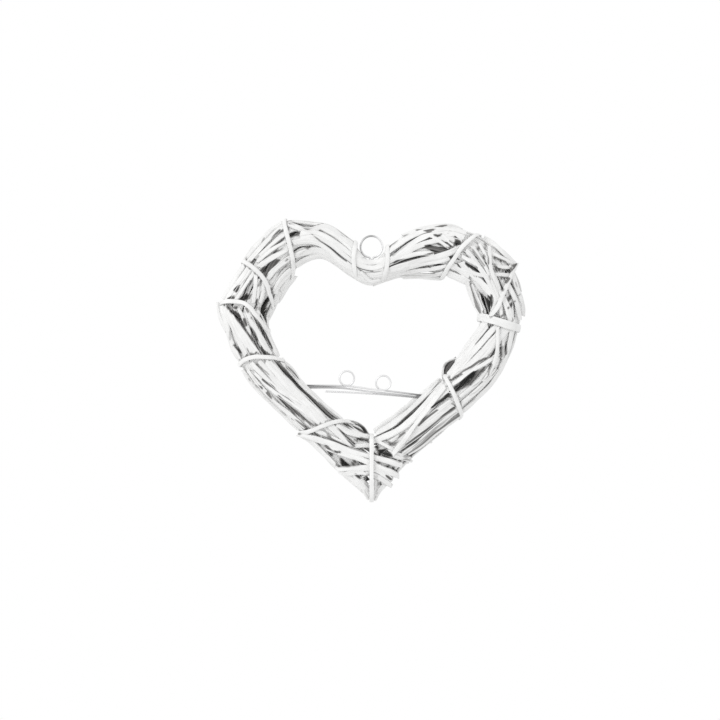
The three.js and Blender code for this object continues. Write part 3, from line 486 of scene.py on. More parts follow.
    (0.8, (434, 234.5, 1.2), (438, 236, 1.6), (442, 234, 0.9)),
    (0.9, (447, 232.5, 1.2), (451, 232, 1.4)),
    (0.8, (442, 240.5, 1.0), (447, 243.5, 1.0)),
    (1.3, (455, 237.5, 1.5), (457.5, 241, 2.5), (460, 243, 2.2), (456, 243.5, 2.2)),
    (0.8, (450, 241, 1.0), (453, 243, 1.0)),
    (1.0, (385, 268.5, 0.9), (391, 265, 1.5), (397, 262, 2.0), (404, 260.5, 2.0), (412, 258.5, 1.5), (421, 256.5, 1.3),
     (431, 253.5, 1.2), (440, 250.5, 1.2), (450, 247, 1.4), (458, 245, 1.0)),
    (0.95, (418, 267, 1.0), (424, 266, 1.4), (430, 267, 1.1)),
    (0.7, (426, 272.5, 0.9), (432, 272.5, 1.7), (434, 273, 1.2)),
    (0.85, (441.5, 277.5, 0.7), (446, 270, 1.0), (450, 263, 1.2), (453, 257, 1.6), (457, 252, 1.0), (462, 247, 0.8)),
    (0.35, (444, 258, 1.5), (447, 259, 1.5)),
    (0.35, (414, 251, 1.5), (415, 251, 1.2)),
]


class Limb:
    """One half of the heart: turns a station, an angle and a depth under the skin into a place."""

    def __init__(self, side, shares):
        self.side = side
        table = np.array(shares) * HEART_WIDTH
        self.last = len(table) - 1
        before = table[np.maximum(np.arange(self.last + 1) - 1, 0)]
        after = table[np.minimum(np.arange(self.last + 1) + 1, self.last)]
        run = np.hypot(after[:, 0] - before[:, 0], after[:, 1] - before[:, 1])
        normals = np.stack([-side * (after[:, 1] - before[:, 1]) / run, side * (after[:, 0] - before[:, 0]) / run], 1)
        normals[0] = (0, 1)
        normals[-1] = (0, -1)
        full = np.minimum(table[:, 2], BUNDLE_DEPTH / 2)
        tip = np.minimum(full, TIP_DEPTH / 2)
        share = np.clip((np.arange(self.last + 1) - self.last + 4) / 3, 0, 1)
        depth = full + (tip - full) * share
        self.table = np.column_stack([table, normals, depth])

    def at(self, u):
        """x, z, half width, normal x, normal z and depth at a station, or at each of several."""
        u = np.clip(np.asarray(u, float), 0, self.last)
        low = np.minimum(u.astype(int), self.last - 1)
        share = (u - low)[..., None]
        return self.table[low] * (1 - share) + self.table[low + 1] * share

    def point(self, u, angle, inset):
        here = self.at(u)
        turn = np.radians(angle)
        across = (here[..., 2] - inset) * np.cos(turn)
        deep = (here[..., 5] - inset) * np.sin(turn)
        return np.stack([here[..., 0] + here[..., 3] * across, -deep, here[..., 1] + here[..., 4] * across], -1)

    def outwards(self, u, angle):
        away = self.point(u, angle, -1.0) - self.point(u, angle, 1.0)
        return away / np.linalg.norm(away, axis=-1, keepdims=True)

    def degrees(self, u, angle, inset, width):
        return width / np.linalg.norm(self.point(u, angle - 0.5, inset) - self.point(u, angle + 0.5, inset))

    def station_past(self, distance):
        u = 0.0
        while abs(self.point(u, 0, 0)[0]) < distance:
            u += 0.01
        return u

    def locate(self, x, z):
        """The station and the angle at the front of a place in the heart's middle plane."""
        stations = np.arange(0, self.last, 0.02)
        here = self.at(stations)
        gap = np.stack([x - here[:, 0], z - here[:, 1]], 1)
        across = (gap * here[:, 3:5]).sum(1)
        miss = np.linalg.norm(gap - here[:, 3:5] * across[:, None], axis=1) + 0.02 * np.abs(across)
        best = int(np.argmin(miss))
        share = np.clip(across[best] / here[best, 2], -1, 1)
        return stations[best], math.degrees(math.acos(share))


limbs = {"left": Limb(-1, LEFT_STATIONS), "right": Limb(1, RIGHT_STATIONS)}
skin_samples = np.concatenate([limb.at(np.arange(0, limb.last + 0.01, 0.1)) for limb in limbs.values()])


def skin(x, z):
    """How far the bundle's skin stands out from the heart's middle plane."""
    gap = (x[:, None] - skin_samples[:, 0]) ** 2 + (z[:, None] - skin_samples[:, 1]) ** 2
    share = np.clip(1 - gap / skin_samples[:, 2] ** 2, 0, 1)
    return (skin_samples[:, 5] * np.sqrt(share)).max(1)


def shade_share(points):
    """How strongly the painted shade of the gaps of the front falls on each place, from 0 to 1, as the camera sees it.
    """
    closer = (VIEW_DISTANCE + points[:, 1]) / VIEW_DISTANCE
    column = RING_COLUMN + (VIEW_MIDDLE_X + (points[:, 0] - VIEW_MIDDLE_X) / closer) / PIXEL
    row = RING_ROW - (VIEW_MIDDLE_Z + (points[:, 2] - VIEW_MIDDLE_Z) / closer) / PIXEL
    place = np.stack([column, row], 1)
    share = np.zeros(len(points))
    low, high = place.min(0) - 6, place.max(0) + 6
    for shade_strength, *spots in SHADE_LINES:
        spots = np.array(spots, float)
        if (spots[:, :2].max(0) < low).any() or (spots[:, :2].min(0) > high).any():
            continue
        for start, end in zip(spots[:-1], spots[1:]):
            run = end[:2] - start[:2]
            along = np.clip((place - start[:2]) @ run / max(run @ run, 1e-6), 0, 1)
            miss = np.linalg.norm(place - start[:2] - along[:, None] * run, axis=1)
            half = start[2] + (end[2] - start[2]) * along
            fade = np.clip((half + 0.6 - miss) / 1.3, 0, 1)
            share = np.maximum(share, shade_strength * fade * fade * (3 - 2 * fade))
    return share * np.clip(-points[:, 1] / 4 + 0.6, 0, 1)


def smooth(rows, reach):
    """A moving average along rows of numbers, with the ends kept."""
    if len(rows) < 3 or reach < 1:
        return rows
    padded = np.concatenate([2 * rows[:1] - rows[reach:0:-1], rows, 2 * rows[-1:] - rows[-2:-reach - 2:-1]])
    kernel = np.hanning(2 * reach + 3)[1:-1]
    kernel /= kernel.sum()
    return np.stack([np.convolve(padded[:, k], kernel, "valid") for k in range(rows.shape[1])], 1)


def resample(points, spacing):
    """Even places along a line of points."""
    steps = np.linalg.norm(np.diff(points, axis=0), axis=1)
    along = np.concatenate([[0], np.cumsum(steps)])
    count = max(4, int(along[-1] / spacing) + 1)
    wanted = np.linspace(0, along[-1], count)
    return np.stack([np.interp(wanted, along, points[:, k]) for k in range(points.shape[1])], 1)


def wander(rng, along, wave, size):
    """A slow irregular wander along a stick."""
    total = np.zeros_like(along)
    for share, phase in zip((1.0, 0.57, 1.83), rng.uniform(0, 2 * math.pi, 3)):
        total += np.sin(along * 2 * math.pi / (wave * share) + phase)
    return total * size / 1.9


# Corners round a split stick, as shares of its width and thickness: a rounded bark side and a flat back
BARK_SECTION = np.array([
    (-0.5, -0.25), (-0.48, 0.1), (-0.41, 0.31), (-0.22, 0.45), (0, 0.5), (0.22, 0.46), (0.41, 0.33), (0.48, 0.1),
    (0.5, -0.25), (0.4, -0.47), (0.0, -0.44), (-0.4, -0.47),
])
CLEFT_SECTION = np.array([
    (-0.5, 0.1), (-0.49, 0.3), (-0.44, 0.42), (-0.2, 0.47), (0, 0.44), (0.2, 0.49), (0.44, 0.46), (0.49, 0.34),
    (0.5, 0.1), (0.36, -0.34), (0.0, -0.5), (-0.36, -0.34),
])
STRIP_SECTION = np.array([
    (-0.5, -0.2), (-0.48, 0.15), (-0.4, 0.36), (-0.2, 0.46), (0, 0.5), (0.2, 0.46), (0.4, 0.36), (0.48, 0.15),
    (0.5, -0.2), (0.42, -0.45), (0.0, -0.38), (-0.42, -0.45),
])
LINING_SECTION = np.array([(-0.5, -0.2), (-0.4, 0.3), (0, 0.5), (0.4, 0.3), (0.5, -0.2), (0.35, -0.5), (-0.35, -0.5)])
ROUND_SECTION = np.array([(0.5 * math.cos(turn), 0.5 * math.sin(turn))
                          for turn in np.linspace(0, 2 * math.pi, 14, endpoint=False)])


class Bunch:
    """Gathers the sticks of one piece, and makes its mesh."""
    laid = 0

    def __init__(self, name):
        self.name = name
        self.points, self.faces, self.grain, self.tone_and_shade = [], [], [], []
        self.count = 0

    def sweep(self, path, facing, section, width, thickness, tone_and_shade, slant=(0.0, 0.0), shade_strength=0.0):
        """Sweeps a section along a path of places. Its last argument is how strongly the gaps of the front take its
        paint away, which paints shade there.
        """
        along = np.concatenate([[0], np.cumsum(np.linalg.norm(np.diff(path, axis=0), axis=1))])
        tangent = np.gradient(path, axis=0)
        tangent /= np.linalg.norm(tangent, axis=1, keepdims=True)
        side = np.cross(tangent, facing)
        side /= np.linalg.norm(side, axis=1, keepdims=True)
        up = np.cross(side, tangent)
        n, m = len(path), len(section)
        rings = (path[:, None] + side[:, None] * (section[None, :, :1] * width[:, None, None])
                 + up[:, None] * (section[None, :, 1:] * thickness[:, None, None]))
        for end, cut in ((0, slant[0]), (n - 1, slant[1])):
            rings[end] += tangent[end] * (section[:, :1] * cut * width[end])
        around = np.concatenate([[0], np.cumsum(np.linalg.norm(np.diff(section * (width.mean(), thickness.mean()),
                                                                          axis=0), axis=1))])
        Bunch.laid += 1
        start = self.count
        self.points.append(rings.reshape(-1, 3))
        self.grain.append(np.stack([np.repeat(along, m), np.tile(around, n), np.full(n * m, Bunch.laid * 1.37)], 1))
        # The back of each section is made a little darker: a slight painted shade under it.
        shade = np.where(section[:, 1] > -0.25, 1.0, 0.8)
        lightness = np.repeat(tone_and_shade, m) * np.tile(shade, n)
        # Faces that look to the front darken in the gaps of the front: painted shade.
        if shade_strength:
            away = (rings - path[:, None]).reshape(-1, 3)
            towards = -away[:, 1] / np.linalg.norm(away, axis=1)
            lightness = lightness * (1 - shade_strength * shade_share(rings.reshape(-1, 3)) * np.clip(towards + 0.3, 0, 1))
        self.tone_and_shade.append(lightness)
        i, j = np.meshgrid(np.arange(n - 1), np.arange(m), indexing="ij")
        here = start + i * m + j
        beside = start + i * m + (j + 1) % m
        self.faces += np.stack([here, here + m, beside + m, beside], -1).reshape(-1, 4).tolist()
        self.count += n * m
        for end, turned in ((0, False), (n - 1, True)):
            cap = self.count + np.arange(m)
            self.points.append(rings[end])
            self.grain.append(np.stack([section[:, 0] * 9, section[:, 1] * 9, np.full(m, 500 + Bunch.laid)], 1))
            self.tone_and_shade.append(np.full(m, tone_and_shade[end] * 0.6))
            self.faces.append(cap[::-1].tolist() if turned else cap.tolist())
            self.count += m

    def stick(self, path, facing, width, tone_and_shade=1.0, thickness=STICK_THICKNESS, as_seen=False, plain=False, shade_strength=0.0):
        """One split stick with the unevenness of a grown thing. as_seen keeps its width as the camera sees it."""
        rng = np.random.default_rng(1000 + Bunch.laid)
        rows = resample(np.hstack([path, facing]), 2.4 if plain else 1.7)
        path, facing = rows[:, :3], rows[:, 3:]
        facing /= np.linalg.norm(facing, axis=1, keepdims=True)
        along = np.concatenate([[0], np.cumsum(np.linalg.norm(np.diff(path, axis=0), axis=1))])
        length = along[-1]
        tangent = np.gradient(path, axis=0)
        side = np.cross(tangent / np.linalg.norm(tangent, axis=1, keepdims=True), facing)
        path = path + side * wander(rng, along, 46, 0.25)[:, None]
        path = path + facing * wander(rng, along, 38, 0.14)[:, None]
        facing = facing + side * wander(rng, along, 60, 0.16)[:, None]
        edge = np.minimum(along, length - along)
        taper = np.interp(along / max(length, 1e-6), [0, 0.12, 0.88, 1], [0.85, 1, 1, 0.85])
        if as_seen:
            across = np.cross(tangent, facing)
            across /= np.linalg.norm(across, axis=1, keepdims=True)
            taper = taper / np.sqrt(np.maximum(1 - across[:, 1] ** 2, 0.4))
        widths = width * taper * (1 + wander(rng, along, 30, 0.09))
        depths = np.full(len(path), thickness) * (1 + wander(rng, along, 24, 0.06)) * np.clip(0.75 + edge / 8, 0, 1)
        slant = rng.uniform(-0.7, 0.7, 2)
        shade = np.broadcast_to(np.asarray(tone_and_shade, float), (len(path),))
        section = LINING_SECTION if plain else BARK_SECTION if rng.random() < 0.5 else CLEFT_SECTION
        self.sweep(path, facing, section, widths, depths, shade, slant, shade_strength)

    def finish(self, nodes=(), material="painted_willow"):
        points = np.concatenate(self.points) * MM
        mesh = bpy.data.meshes.new(self.name)
        mesh.from_pydata(points.tolist(), [], self.faces)
        mesh.validate()
        grain = mesh.attributes.new("grain", "FLOAT_VECTOR", "POINT")
        grain.data.foreach_set("vector", np.concatenate(self.grain).astype(np.float32).ravel())
        # The per-point tone: white paint, bare wood, and painted shade in the gaps and on the backs.
        tone_and_shade = mesh.attributes.new("tone_and_shade", "FLOAT", "POINT")
        tone_and_shade.data.foreach_set("value", np.concatenate(self.tone_and_shade).astype(np.float32))
        mesh.polygons.foreach_set("use_smooth", [len(face) == 4 for face in self.faces])
        mesh.update()
        piece = bpy.data.objects.new(self.name, mesh)
        bpy.context.scene.collection.objects.link(piece)
        mesh.materials.append(materials[material])
        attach(piece, "root")
        if nodes:
            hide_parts(*nodes)
        return piece


def layer_inset(layer):
    return STICK_THICKNESS / 2 + (layer - 1) * (STICK_THICKNESS + LAYER_GAP)


def strand(bunch, limb, row, tone_and_shade=1.0):
    """Sticks laid side by side along a limb."""
    layer, first, last, angle_from, angle_to, sticks = row
    start = max(first, CLEFT_SLOT / 2 / abs(limb.table[1, 0]))
    end = min(last, limb.last - TIP_SLOT / 2 / abs(limb.table[-2, 0]))
    turn = (angle_to - angle_from + 540) % 360 - 180
    rng = np.random.default_rng(77 + Bunch.laid)
    for stick in range(sticks):
        u = np.arange(start + rng.uniform(0, 0.12), end - rng.uniform(0, 0.12), 0.08)
        middle = angle_from + turn * (u - start) / (end - start)
        taper = np.minimum(1, limb.at(u)[:, 2] / FULL_BUNDLE)
        across = np.array([limb.degrees(v, a, layer_inset(layer), STICK_WIDTH * t)
                           for v, a, t in zip(u, middle, taper)])
        angle = middle + across * (stick - (sticks - 1) / 2) * 1.04
        inset = layer_inset(layer) + rng.uniform(-0.25, 0.25)
        path = smooth(limb.point(u, angle, inset), 4)
        facing = limb.outwards(u, angle)
        bunch.stick(path, facing, STICK_WIDTH * rng.uniform(0.86, 0.98) * taper.mean(), tone_and_shade, shade_strength=0.8)


def seen(spots):
    """Places in the heart's middle plane of columns and rows of the photograph."""
    spots = np.array(spots, float)
    return (spots[:, 0] - RING_COLUMN) * PIXEL, (RING_ROW - spots[:, 1]) * PIXEL


def taut(depths):
    """Depths along a straight stick that spans the dips of what it lies on."""
    hull = []
    for here in enumerate(depths):
        while len(hull) > 1 and ((hull[-1][1] - hull[-2][1]) * (here[0] - hull[-2][0])
                                 <= (here[1] - hull[-2][1]) * (hull[-1][0] - hull[-2][0])):
            hull.pop()
        hull.append(here)
    return np.interp(np.arange(len(depths)), [place for place, _ in hull], [depth for _, depth in hull])


def seen_stick(bunch, width, inset, *spots):
    """A stick of the front, laid on the bundle where the photograph shows it."""
    x, z = seen(spots)
    line = resample(np.stack([x, z], 1), 1.5)
    line = smooth(line, 2)
    x, z = line[:, 0], line[:, 1]
    deep = skin(x, z) - inset
    closer = (VIEW_DISTANCE - deep) / VIEW_DISTANCE
    x = VIEW_MIDDLE_X + (x - VIEW_MIDDLE_X) * closer
    z = VIEW_MIDDLE_Z + (z - VIEW_MIDDLE_Z) * closer
    deep = np.maximum(skin(x, z) - inset, -inset)
    if inset < -1.6:
        deep = taut(deep)
    slope_x = (skin(x + 1, z) - skin(x - 1, z)) / 2
    slope_z = (skin(x, z + 1) - skin(x, z - 1)) / 2
    limit = 1 / np.maximum(1, np.hypot(slope_x, slope_z))
    facing = np.stack([-slope_x * limit, -np.ones(len(x)), -slope_z * limit], 1)
    path = np.stack([x, -deep, z], 1)
    path = smooth(path, 6)
    facing = smooth(facing, 6)
    # Sticks deeper under the skin get less paint, a painted shade of the depth, and the gaps of the front darken them
    # more.
    tone_and_shade = float(np.clip(1.15 - max(inset - 1.3, 0) * 0.28, 0, 1))
    bunch.stick(path, facing, width * 1.15, tone_and_shade, 1.7, as_seen=True, shade_strength=0.95)


def closed_smooth(values, reach):
    kernel = np.hanning(2 * reach + 3)[1:-1]
    kernel /= kernel.sum()
    return np.convolve(np.concatenate([values[-reach:], values, values[:reach]]), kernel, "valid")


def wound(bunch, place, outwards, width, thickness, start, turns=1.09, tone_and_shade=1.0):
    """A strip wound round, with its second end laid over its first at the back."""
    rng = np.random.default_rng(400 + Bunch.laid)
    angles = np.linspace(start, start + 360 * turns, 120)
    path = place(angles)
    facing = outwards(angles)
    over = np.clip((angles - start - 350) / 24, 0, 1) * thickness
    path = path + facing * over[:, None]
    along = np.concatenate([[0], np.cumsum(np.linalg.norm(np.diff(path, axis=0), axis=1))])
    widths = width * (1 + wander(rng, along, 34, 0.05))
    depths = thickness * (1 + wander(rng, along, 22, 0.05))
    lightness = np.full(len(path), tone_and_shade)
    bunch.sweep(path, facing, STRIP_SECTION, widths, depths, lightness, rng.uniform(-0.6, 0.6, 2))


def binding(name, limb, station, width=BINDING_WIDTH):
    """A binding round a limb; station gives its place along the limb at each angle."""
    inset = -BINDING_CLEARANCE - BINDING_THICKNESS / 2
    bunch = Bunch(name.replace("_binding", "_band"))
    wound(bunch, lambda a: limb.point(station(a), a, inset), lambda a: limb.outwards(station(a), a),
          width, BINDING_THICKNESS, 250)
    bunch.finish((name,), "painted_binding")


def route_station(limb, spots):
    """The station at each angle of a binding, from where it crosses the front."""
    found = sorted((limb.locate(x, z)[::-1] for x, z in zip(*seen(spots))))
    angles = np.array([0.0] + [angle for angle, _ in found] + [180.0])
    stations = np.array([found[0][1]] + [u for _, u in found] + [found[-1][1]])
    turn = np.arange(0, 360, 4.0)
    front = np.interp(turn, angles, stations)
    back = stations[-1] + (stations[0] - stations[-1]) * (1 - np.cos(np.radians(turn - 180))) / 2
    table = closed_smooth(np.where(turn <= 180, front, back), 4)
    return lambda a: np.interp(np.mod(a, 360), np.append(turn, 360), np.append(table, table[0]))


def node_socket(tree, kind, name, direction):
    return tree.interface.new_socket(name=name, in_out=direction, socket_type=kind)


def willow_surface():
    """The shared look of painted split willow: fibres along the stick, thin paint, and dark bare wood where the paint
    is taken away, which also paints the shade of the depth and the gaps, near black in the deepest.
    """
    tree = bpy.data.node_groups.new("split_willow", "ShaderNodeTree")
    node_socket(tree, "NodeSocketVector", "Grain", "INPUT")
    node_socket(tree, "NodeSocketFloat", "Tone_and_shade", "INPUT")
    node_socket(tree, "NodeSocketFloat", "Fibres", "INPUT")
    node_socket(tree, "NodeSocketColor", "Paint", "INPUT")
    node_socket(tree, "NodeSocketColor", "Color", "OUTPUT")
    node_socket(tree, "NodeSocketFloat", "Roughness", "OUTPUT")
    node_socket(tree, "NodeSocketFloat", "Height", "OUTPUT")
    nodes, links = tree.nodes, tree.links
    given = nodes.new("NodeGroupInput")
    result = nodes.new("NodeGroupOutput")

    def stretched(scale, detail):
        bend = nodes.new("ShaderNodeVectorMath")
        bend.operation = "MULTIPLY"
        bend.inputs[1].default_value = scale
        links.new(given.outputs["Grain"], bend.inputs[0])
        noise = nodes.new("ShaderNodeTexNoise")
        noise.inputs["Scale"].default_value = 1.0
        noise.inputs["Detail"].default_value = detail
        noise.inputs["Roughness"].default_value = 0.6
        links.new(bend.outputs[0], noise.inputs["Vector"])
        return noise.outputs["Fac"]

    def ramp(value, low, high):
        spread = nodes.new("ShaderNodeMapRange")
        spread.interpolation_type = "SMOOTHSTEP"
        spread.inputs["From Min"].default_value = low
        spread.inputs["From Max"].default_value = high
        links.new(value, spread.inputs["Value"])
        return spread.outputs["Result"]

    def blend(share, first, second):
        mix = nodes.new("ShaderNodeMix")
        mix.data_type = "RGBA"
        links.new(share, mix.inputs["Factor"])
        for socket, value in ((mix.inputs[6], first), (mix.inputs[7], second)):
            if isinstance(value, tuple):
                socket.default_value = (*value, 1)
            else:
                links.new(value, socket)
        return mix.outputs[2]

    def work(operation, first, second):
        node = nodes.new("ShaderNodeMath")
        node.operation = operation
        for socket, value in ((node.inputs[0], first), (node.inputs[1], second)):
            if isinstance(value, float):
                socket.default_value = value
            else:
                links.new(value, socket)
        return node.outputs[0]

    fibres = stretched((0.035, 1.5, 1.0), 3.0)
    coarse = stretched((0.012, 0.45, 1.0), 2.0)
    brushed = stretched((0.11, 0.16, 1.0), 2.0)
    thin = work("MULTIPLY", ramp(fibres, 0.56, 0.72), given.outputs["Fibres"])
    # Dark grey bare wood, which also stands in for the shade in the gaps.
    bark_and_shade = blend(ramp(coarse, 0.35, 0.65), (0.060, 0.059, 0.058), (0.210, 0.205, 0.200))
    axes = nodes.new("ShaderNodeSeparateXYZ")
    links.new(given.outputs["Grain"], axes.inputs["Vector"])
    each = nodes.new("ShaderNodeTexWhiteNoise")
    each.noise_dimensions = "1D"
    links.new(axes.outputs["Z"], each.inputs["W"])
    share = work("ADD", work("MULTIPLY", ramp(brushed, 0.3, 0.7), 0.6), work("MULTIPLY", each.outputs["Value"], 0.4))
    dull = blend(share, (0.88, 0.88, 0.88), (1.0, 1.0, 1.0))
    multiply = nodes.new("ShaderNodeMix")
    multiply.data_type = "RGBA"
    multiply.blend_type = "MULTIPLY"
    multiply.inputs["Factor"].default_value = 1.0
    links.new(given.outputs["Paint"], multiply.inputs[6])
    links.new(dull, multiply.inputs[7])
    worn = blend(work("MULTIPLY", thin, 0.45), multiply.outputs[2], (0.46, 0.45, 0.44))
    uneven = work("ADD", given.outputs["Tone_and_shade"], work("MULTIPLY", work("SUBTRACT", coarse, 0.5), 0.7))
    lightness = ramp(uneven, 0.1, 0.85)
    # Near black where the tone falls below zero: painted shade in the deepest gaps.
    shaded = blend(ramp(given.outputs["Tone_and_shade"], -0.35, 0.05), (0.010, 0.010, 0.009), bark_and_shade)
    links.new(blend(lightness, shaded, worn), result.inputs["Color"])
    rough = work("ADD", work("MULTIPLY", brushed, 0.2), 0.5)
    links.new(work("ADD", rough, work("MULTIPLY", thin, 0.15)), result.inputs["Roughness"])
    height = work("ADD", work("MULTIPLY", fibres, 0.7), work("MULTIPLY", coarse, 0.6))
    links.new(work("ADD", height, work("MULTIPLY", brushed, 0.25)), result.inputs["Height"])
    return tree


def willow_material(name, group, paint, fibres, bump):
    material = bpy.data.materials.new(name)
    material.use_nodes = True
    nodes, links = material.node_tree.nodes, material.node_tree.links
    shader = nodes["Principled BSDF"]
    shader.inputs["Specular IOR Level"].default_value = 0.35
    surface = nodes.new("ShaderNodeGroup")
    surface.node_tree = group
    surface.inputs["Paint"].default_value = (*paint, 1)
    surface.inputs["Fibres"].default_value = fibres
    for attribute, output, socket in (("grain", "Vector", "Grain"), ("tone_and_shade", "Fac", "Tone_and_shade")):
        source = nodes.new("ShaderNodeAttribute")
        source.attribute_name = attribute
        links.new(source.outputs[output], surface.inputs[socket])
    relief = nodes.new("ShaderNodeBump")
    relief.inputs["Strength"].default_value = bump
    relief.inputs["Distance"].default_value = 0.35 * MM
    links.new(surface.outputs["Height"], relief.inputs["Height"])
    links.new(surface.outputs["Color"], shader.inputs["Base Color"])
    links.new(surface.outputs["Roughness"], shader.inputs["Roughness"])
    links.new(relief.outputs["Normal"], shader.inputs["Normal"])
    return material


def wire_material():
    """Drawn zinc wire: dull bright metal with fine drawing lines, dark where its tone along the wire is low, which
    paints shade on it.
    """
    material = bpy.data.materials.new("zinc_wire")
    material.use_nodes = True
    nodes, links = material.node_tree.nodes, material.node_tree.links
    shader = nodes["Principled BSDF"]
    shader.inputs["Metallic"].default_value = 1.0
    grain = nodes.new("ShaderNodeAttribute")
    grain.attribute_name = "grain"
    tone_and_shade = nodes.new("ShaderNodeAttribute")
    tone_and_shade.attribute_name = "tone_and_shade"
    stretch = nodes.new("ShaderNodeVectorMath")
    stretch.operation = "MULTIPLY"
    stretch.inputs[1].default_value = (0.08, 3.0, 1.0)
    links.new(grain.outputs["Vector"], stretch.inputs[0])
    lines = nodes.new("ShaderNodeTexNoise")
    lines.inputs["Scale"].default_value = 1.0
    lines.inputs["Detail"].default_value = 3.0
    links.new(stretch.outputs[0], lines.inputs["Vector"])
    share = nodes.new("ShaderNodeMath")
    share.operation = "MULTIPLY_ADD"
    share.inputs[1].default_value = 0.35
    links.new(lines.outputs["Fac"], share.inputs[0])
    links.new(tone_and_shade.outputs["Fac"], share.inputs[2])
    tone = nodes.new("ShaderNodeMapRange")
    tone.inputs["From Min"].default_value = 0.2
    tone.inputs["From Max"].default_value = 1.2
    links.new(share.outputs[0], tone.inputs["Value"])
    colour = nodes.new("ShaderNodeMix")
    colour.data_type = "RGBA"
    # Dark and bright zinc, mixed by the tone along the wire: painted shade and light.
    colour.inputs[6].default_value = (0.10, 0.10, 0.102, 1)
    colour.inputs[7].default_value = (0.86, 0.86, 0.865, 1)
    links.new(tone.outputs["Result"], colour.inputs["Factor"])
    links.new(colour.outputs[2], shader.inputs["Base Color"])
    rough = nodes.new("ShaderNodeMapRange")
    rough.inputs["To Min"].default_value = 0.35
    rough.inputs["To Max"].default_value = 0.55
    links.new(lines.outputs["Fac"], rough.inputs["Value"])
    links.new(rough.outputs["Result"], shader.inputs["Roughness"])
    relief = nodes.new("ShaderNodeBump")
    relief.inputs["Strength"].default_value = 0.3
    relief.inputs["Distance"].default_value = 0.05 * MM
    links.new(lines.outputs["Fac"], relief.inputs["Height"])
    links.new(relief.outputs["Normal"], shader.inputs["Normal"])
    return material


group = willow_surface()
materials = {
    "painted_willow": willow_material("painted_willow", group, (0.855, 0.855, 0.85), 1.0, 0.7),
    "painted_binding": willow_material("painted_binding", group, (0.86, 0.86, 0.855), 0.6, 0.5),
    "zinc_wire": wire_material(),
}


def smooth_line(points, spacing=0.6):
    """A centripetal curve through points, as even places."""
    points = np.array(points, float)
    ends = np.vstack([2 * points[:1] - points[1:2], points, 2 * points[-1:] - points[-2:-1]])
    rows = []
    for k in range(len(points) - 1):
        p = ends[k:k + 4]
        knots = np.concatenate([[0], np.cumsum(np.linalg.norm(np.diff(p, axis=0), axis=1) ** 0.5)])
        t = np.linspace(knots[1], knots[2], 24, endpoint=k == len(points) - 2)[:, None]

        def between(a, b, low, high):
            return a * (knots[high] - t) / (knots[high] - knots[low]) + b * (t - knots[low]) / (knots[high] - knots[low])

        a1, a2, a3 = (between(p[i], p[i + 1], i, i + 1) for i in range(3))
        b1, b2 = between(a1, a2, 0, 2), between(a2, a3, 1, 3)
        rows.append(between(b1, b2, 1, 2))
    return resample(np.concatenate(rows), spacing)


def wire(name, points, diameter, light_and_shade):
    """A round wire; the last argument gives its tone at shares of its length, which paints light and shade along it."""
    path = smooth_line(points)
    tangent = np.gradient(path, axis=0)
    tangent /= np.linalg.norm(tangent, axis=1, keepdims=True)
    facing = [np.array([0.0, -1.0, 0.0])]
    for direction in tangent:
        turned = facing[-1] - direction * facing[-1].dot(direction)
        facing.append(turned / np.linalg.norm(turned))
    bunch = Bunch(name + "_round")
    share = np.linspace(0, 1, len(path))
    tone_and_shade = np.interp(share, np.linspace(0, 1, len(light_and_shade)), light_and_shade)
    size = np.full(len(path), diameter)
    size[[0, -1]] = diameter * 0.7
    bunch.sweep(path, np.array(facing[1:]), ROUND_SECTION, size, size, tone_and_shade)
    bunch.finish((name,), "zinc_wire")


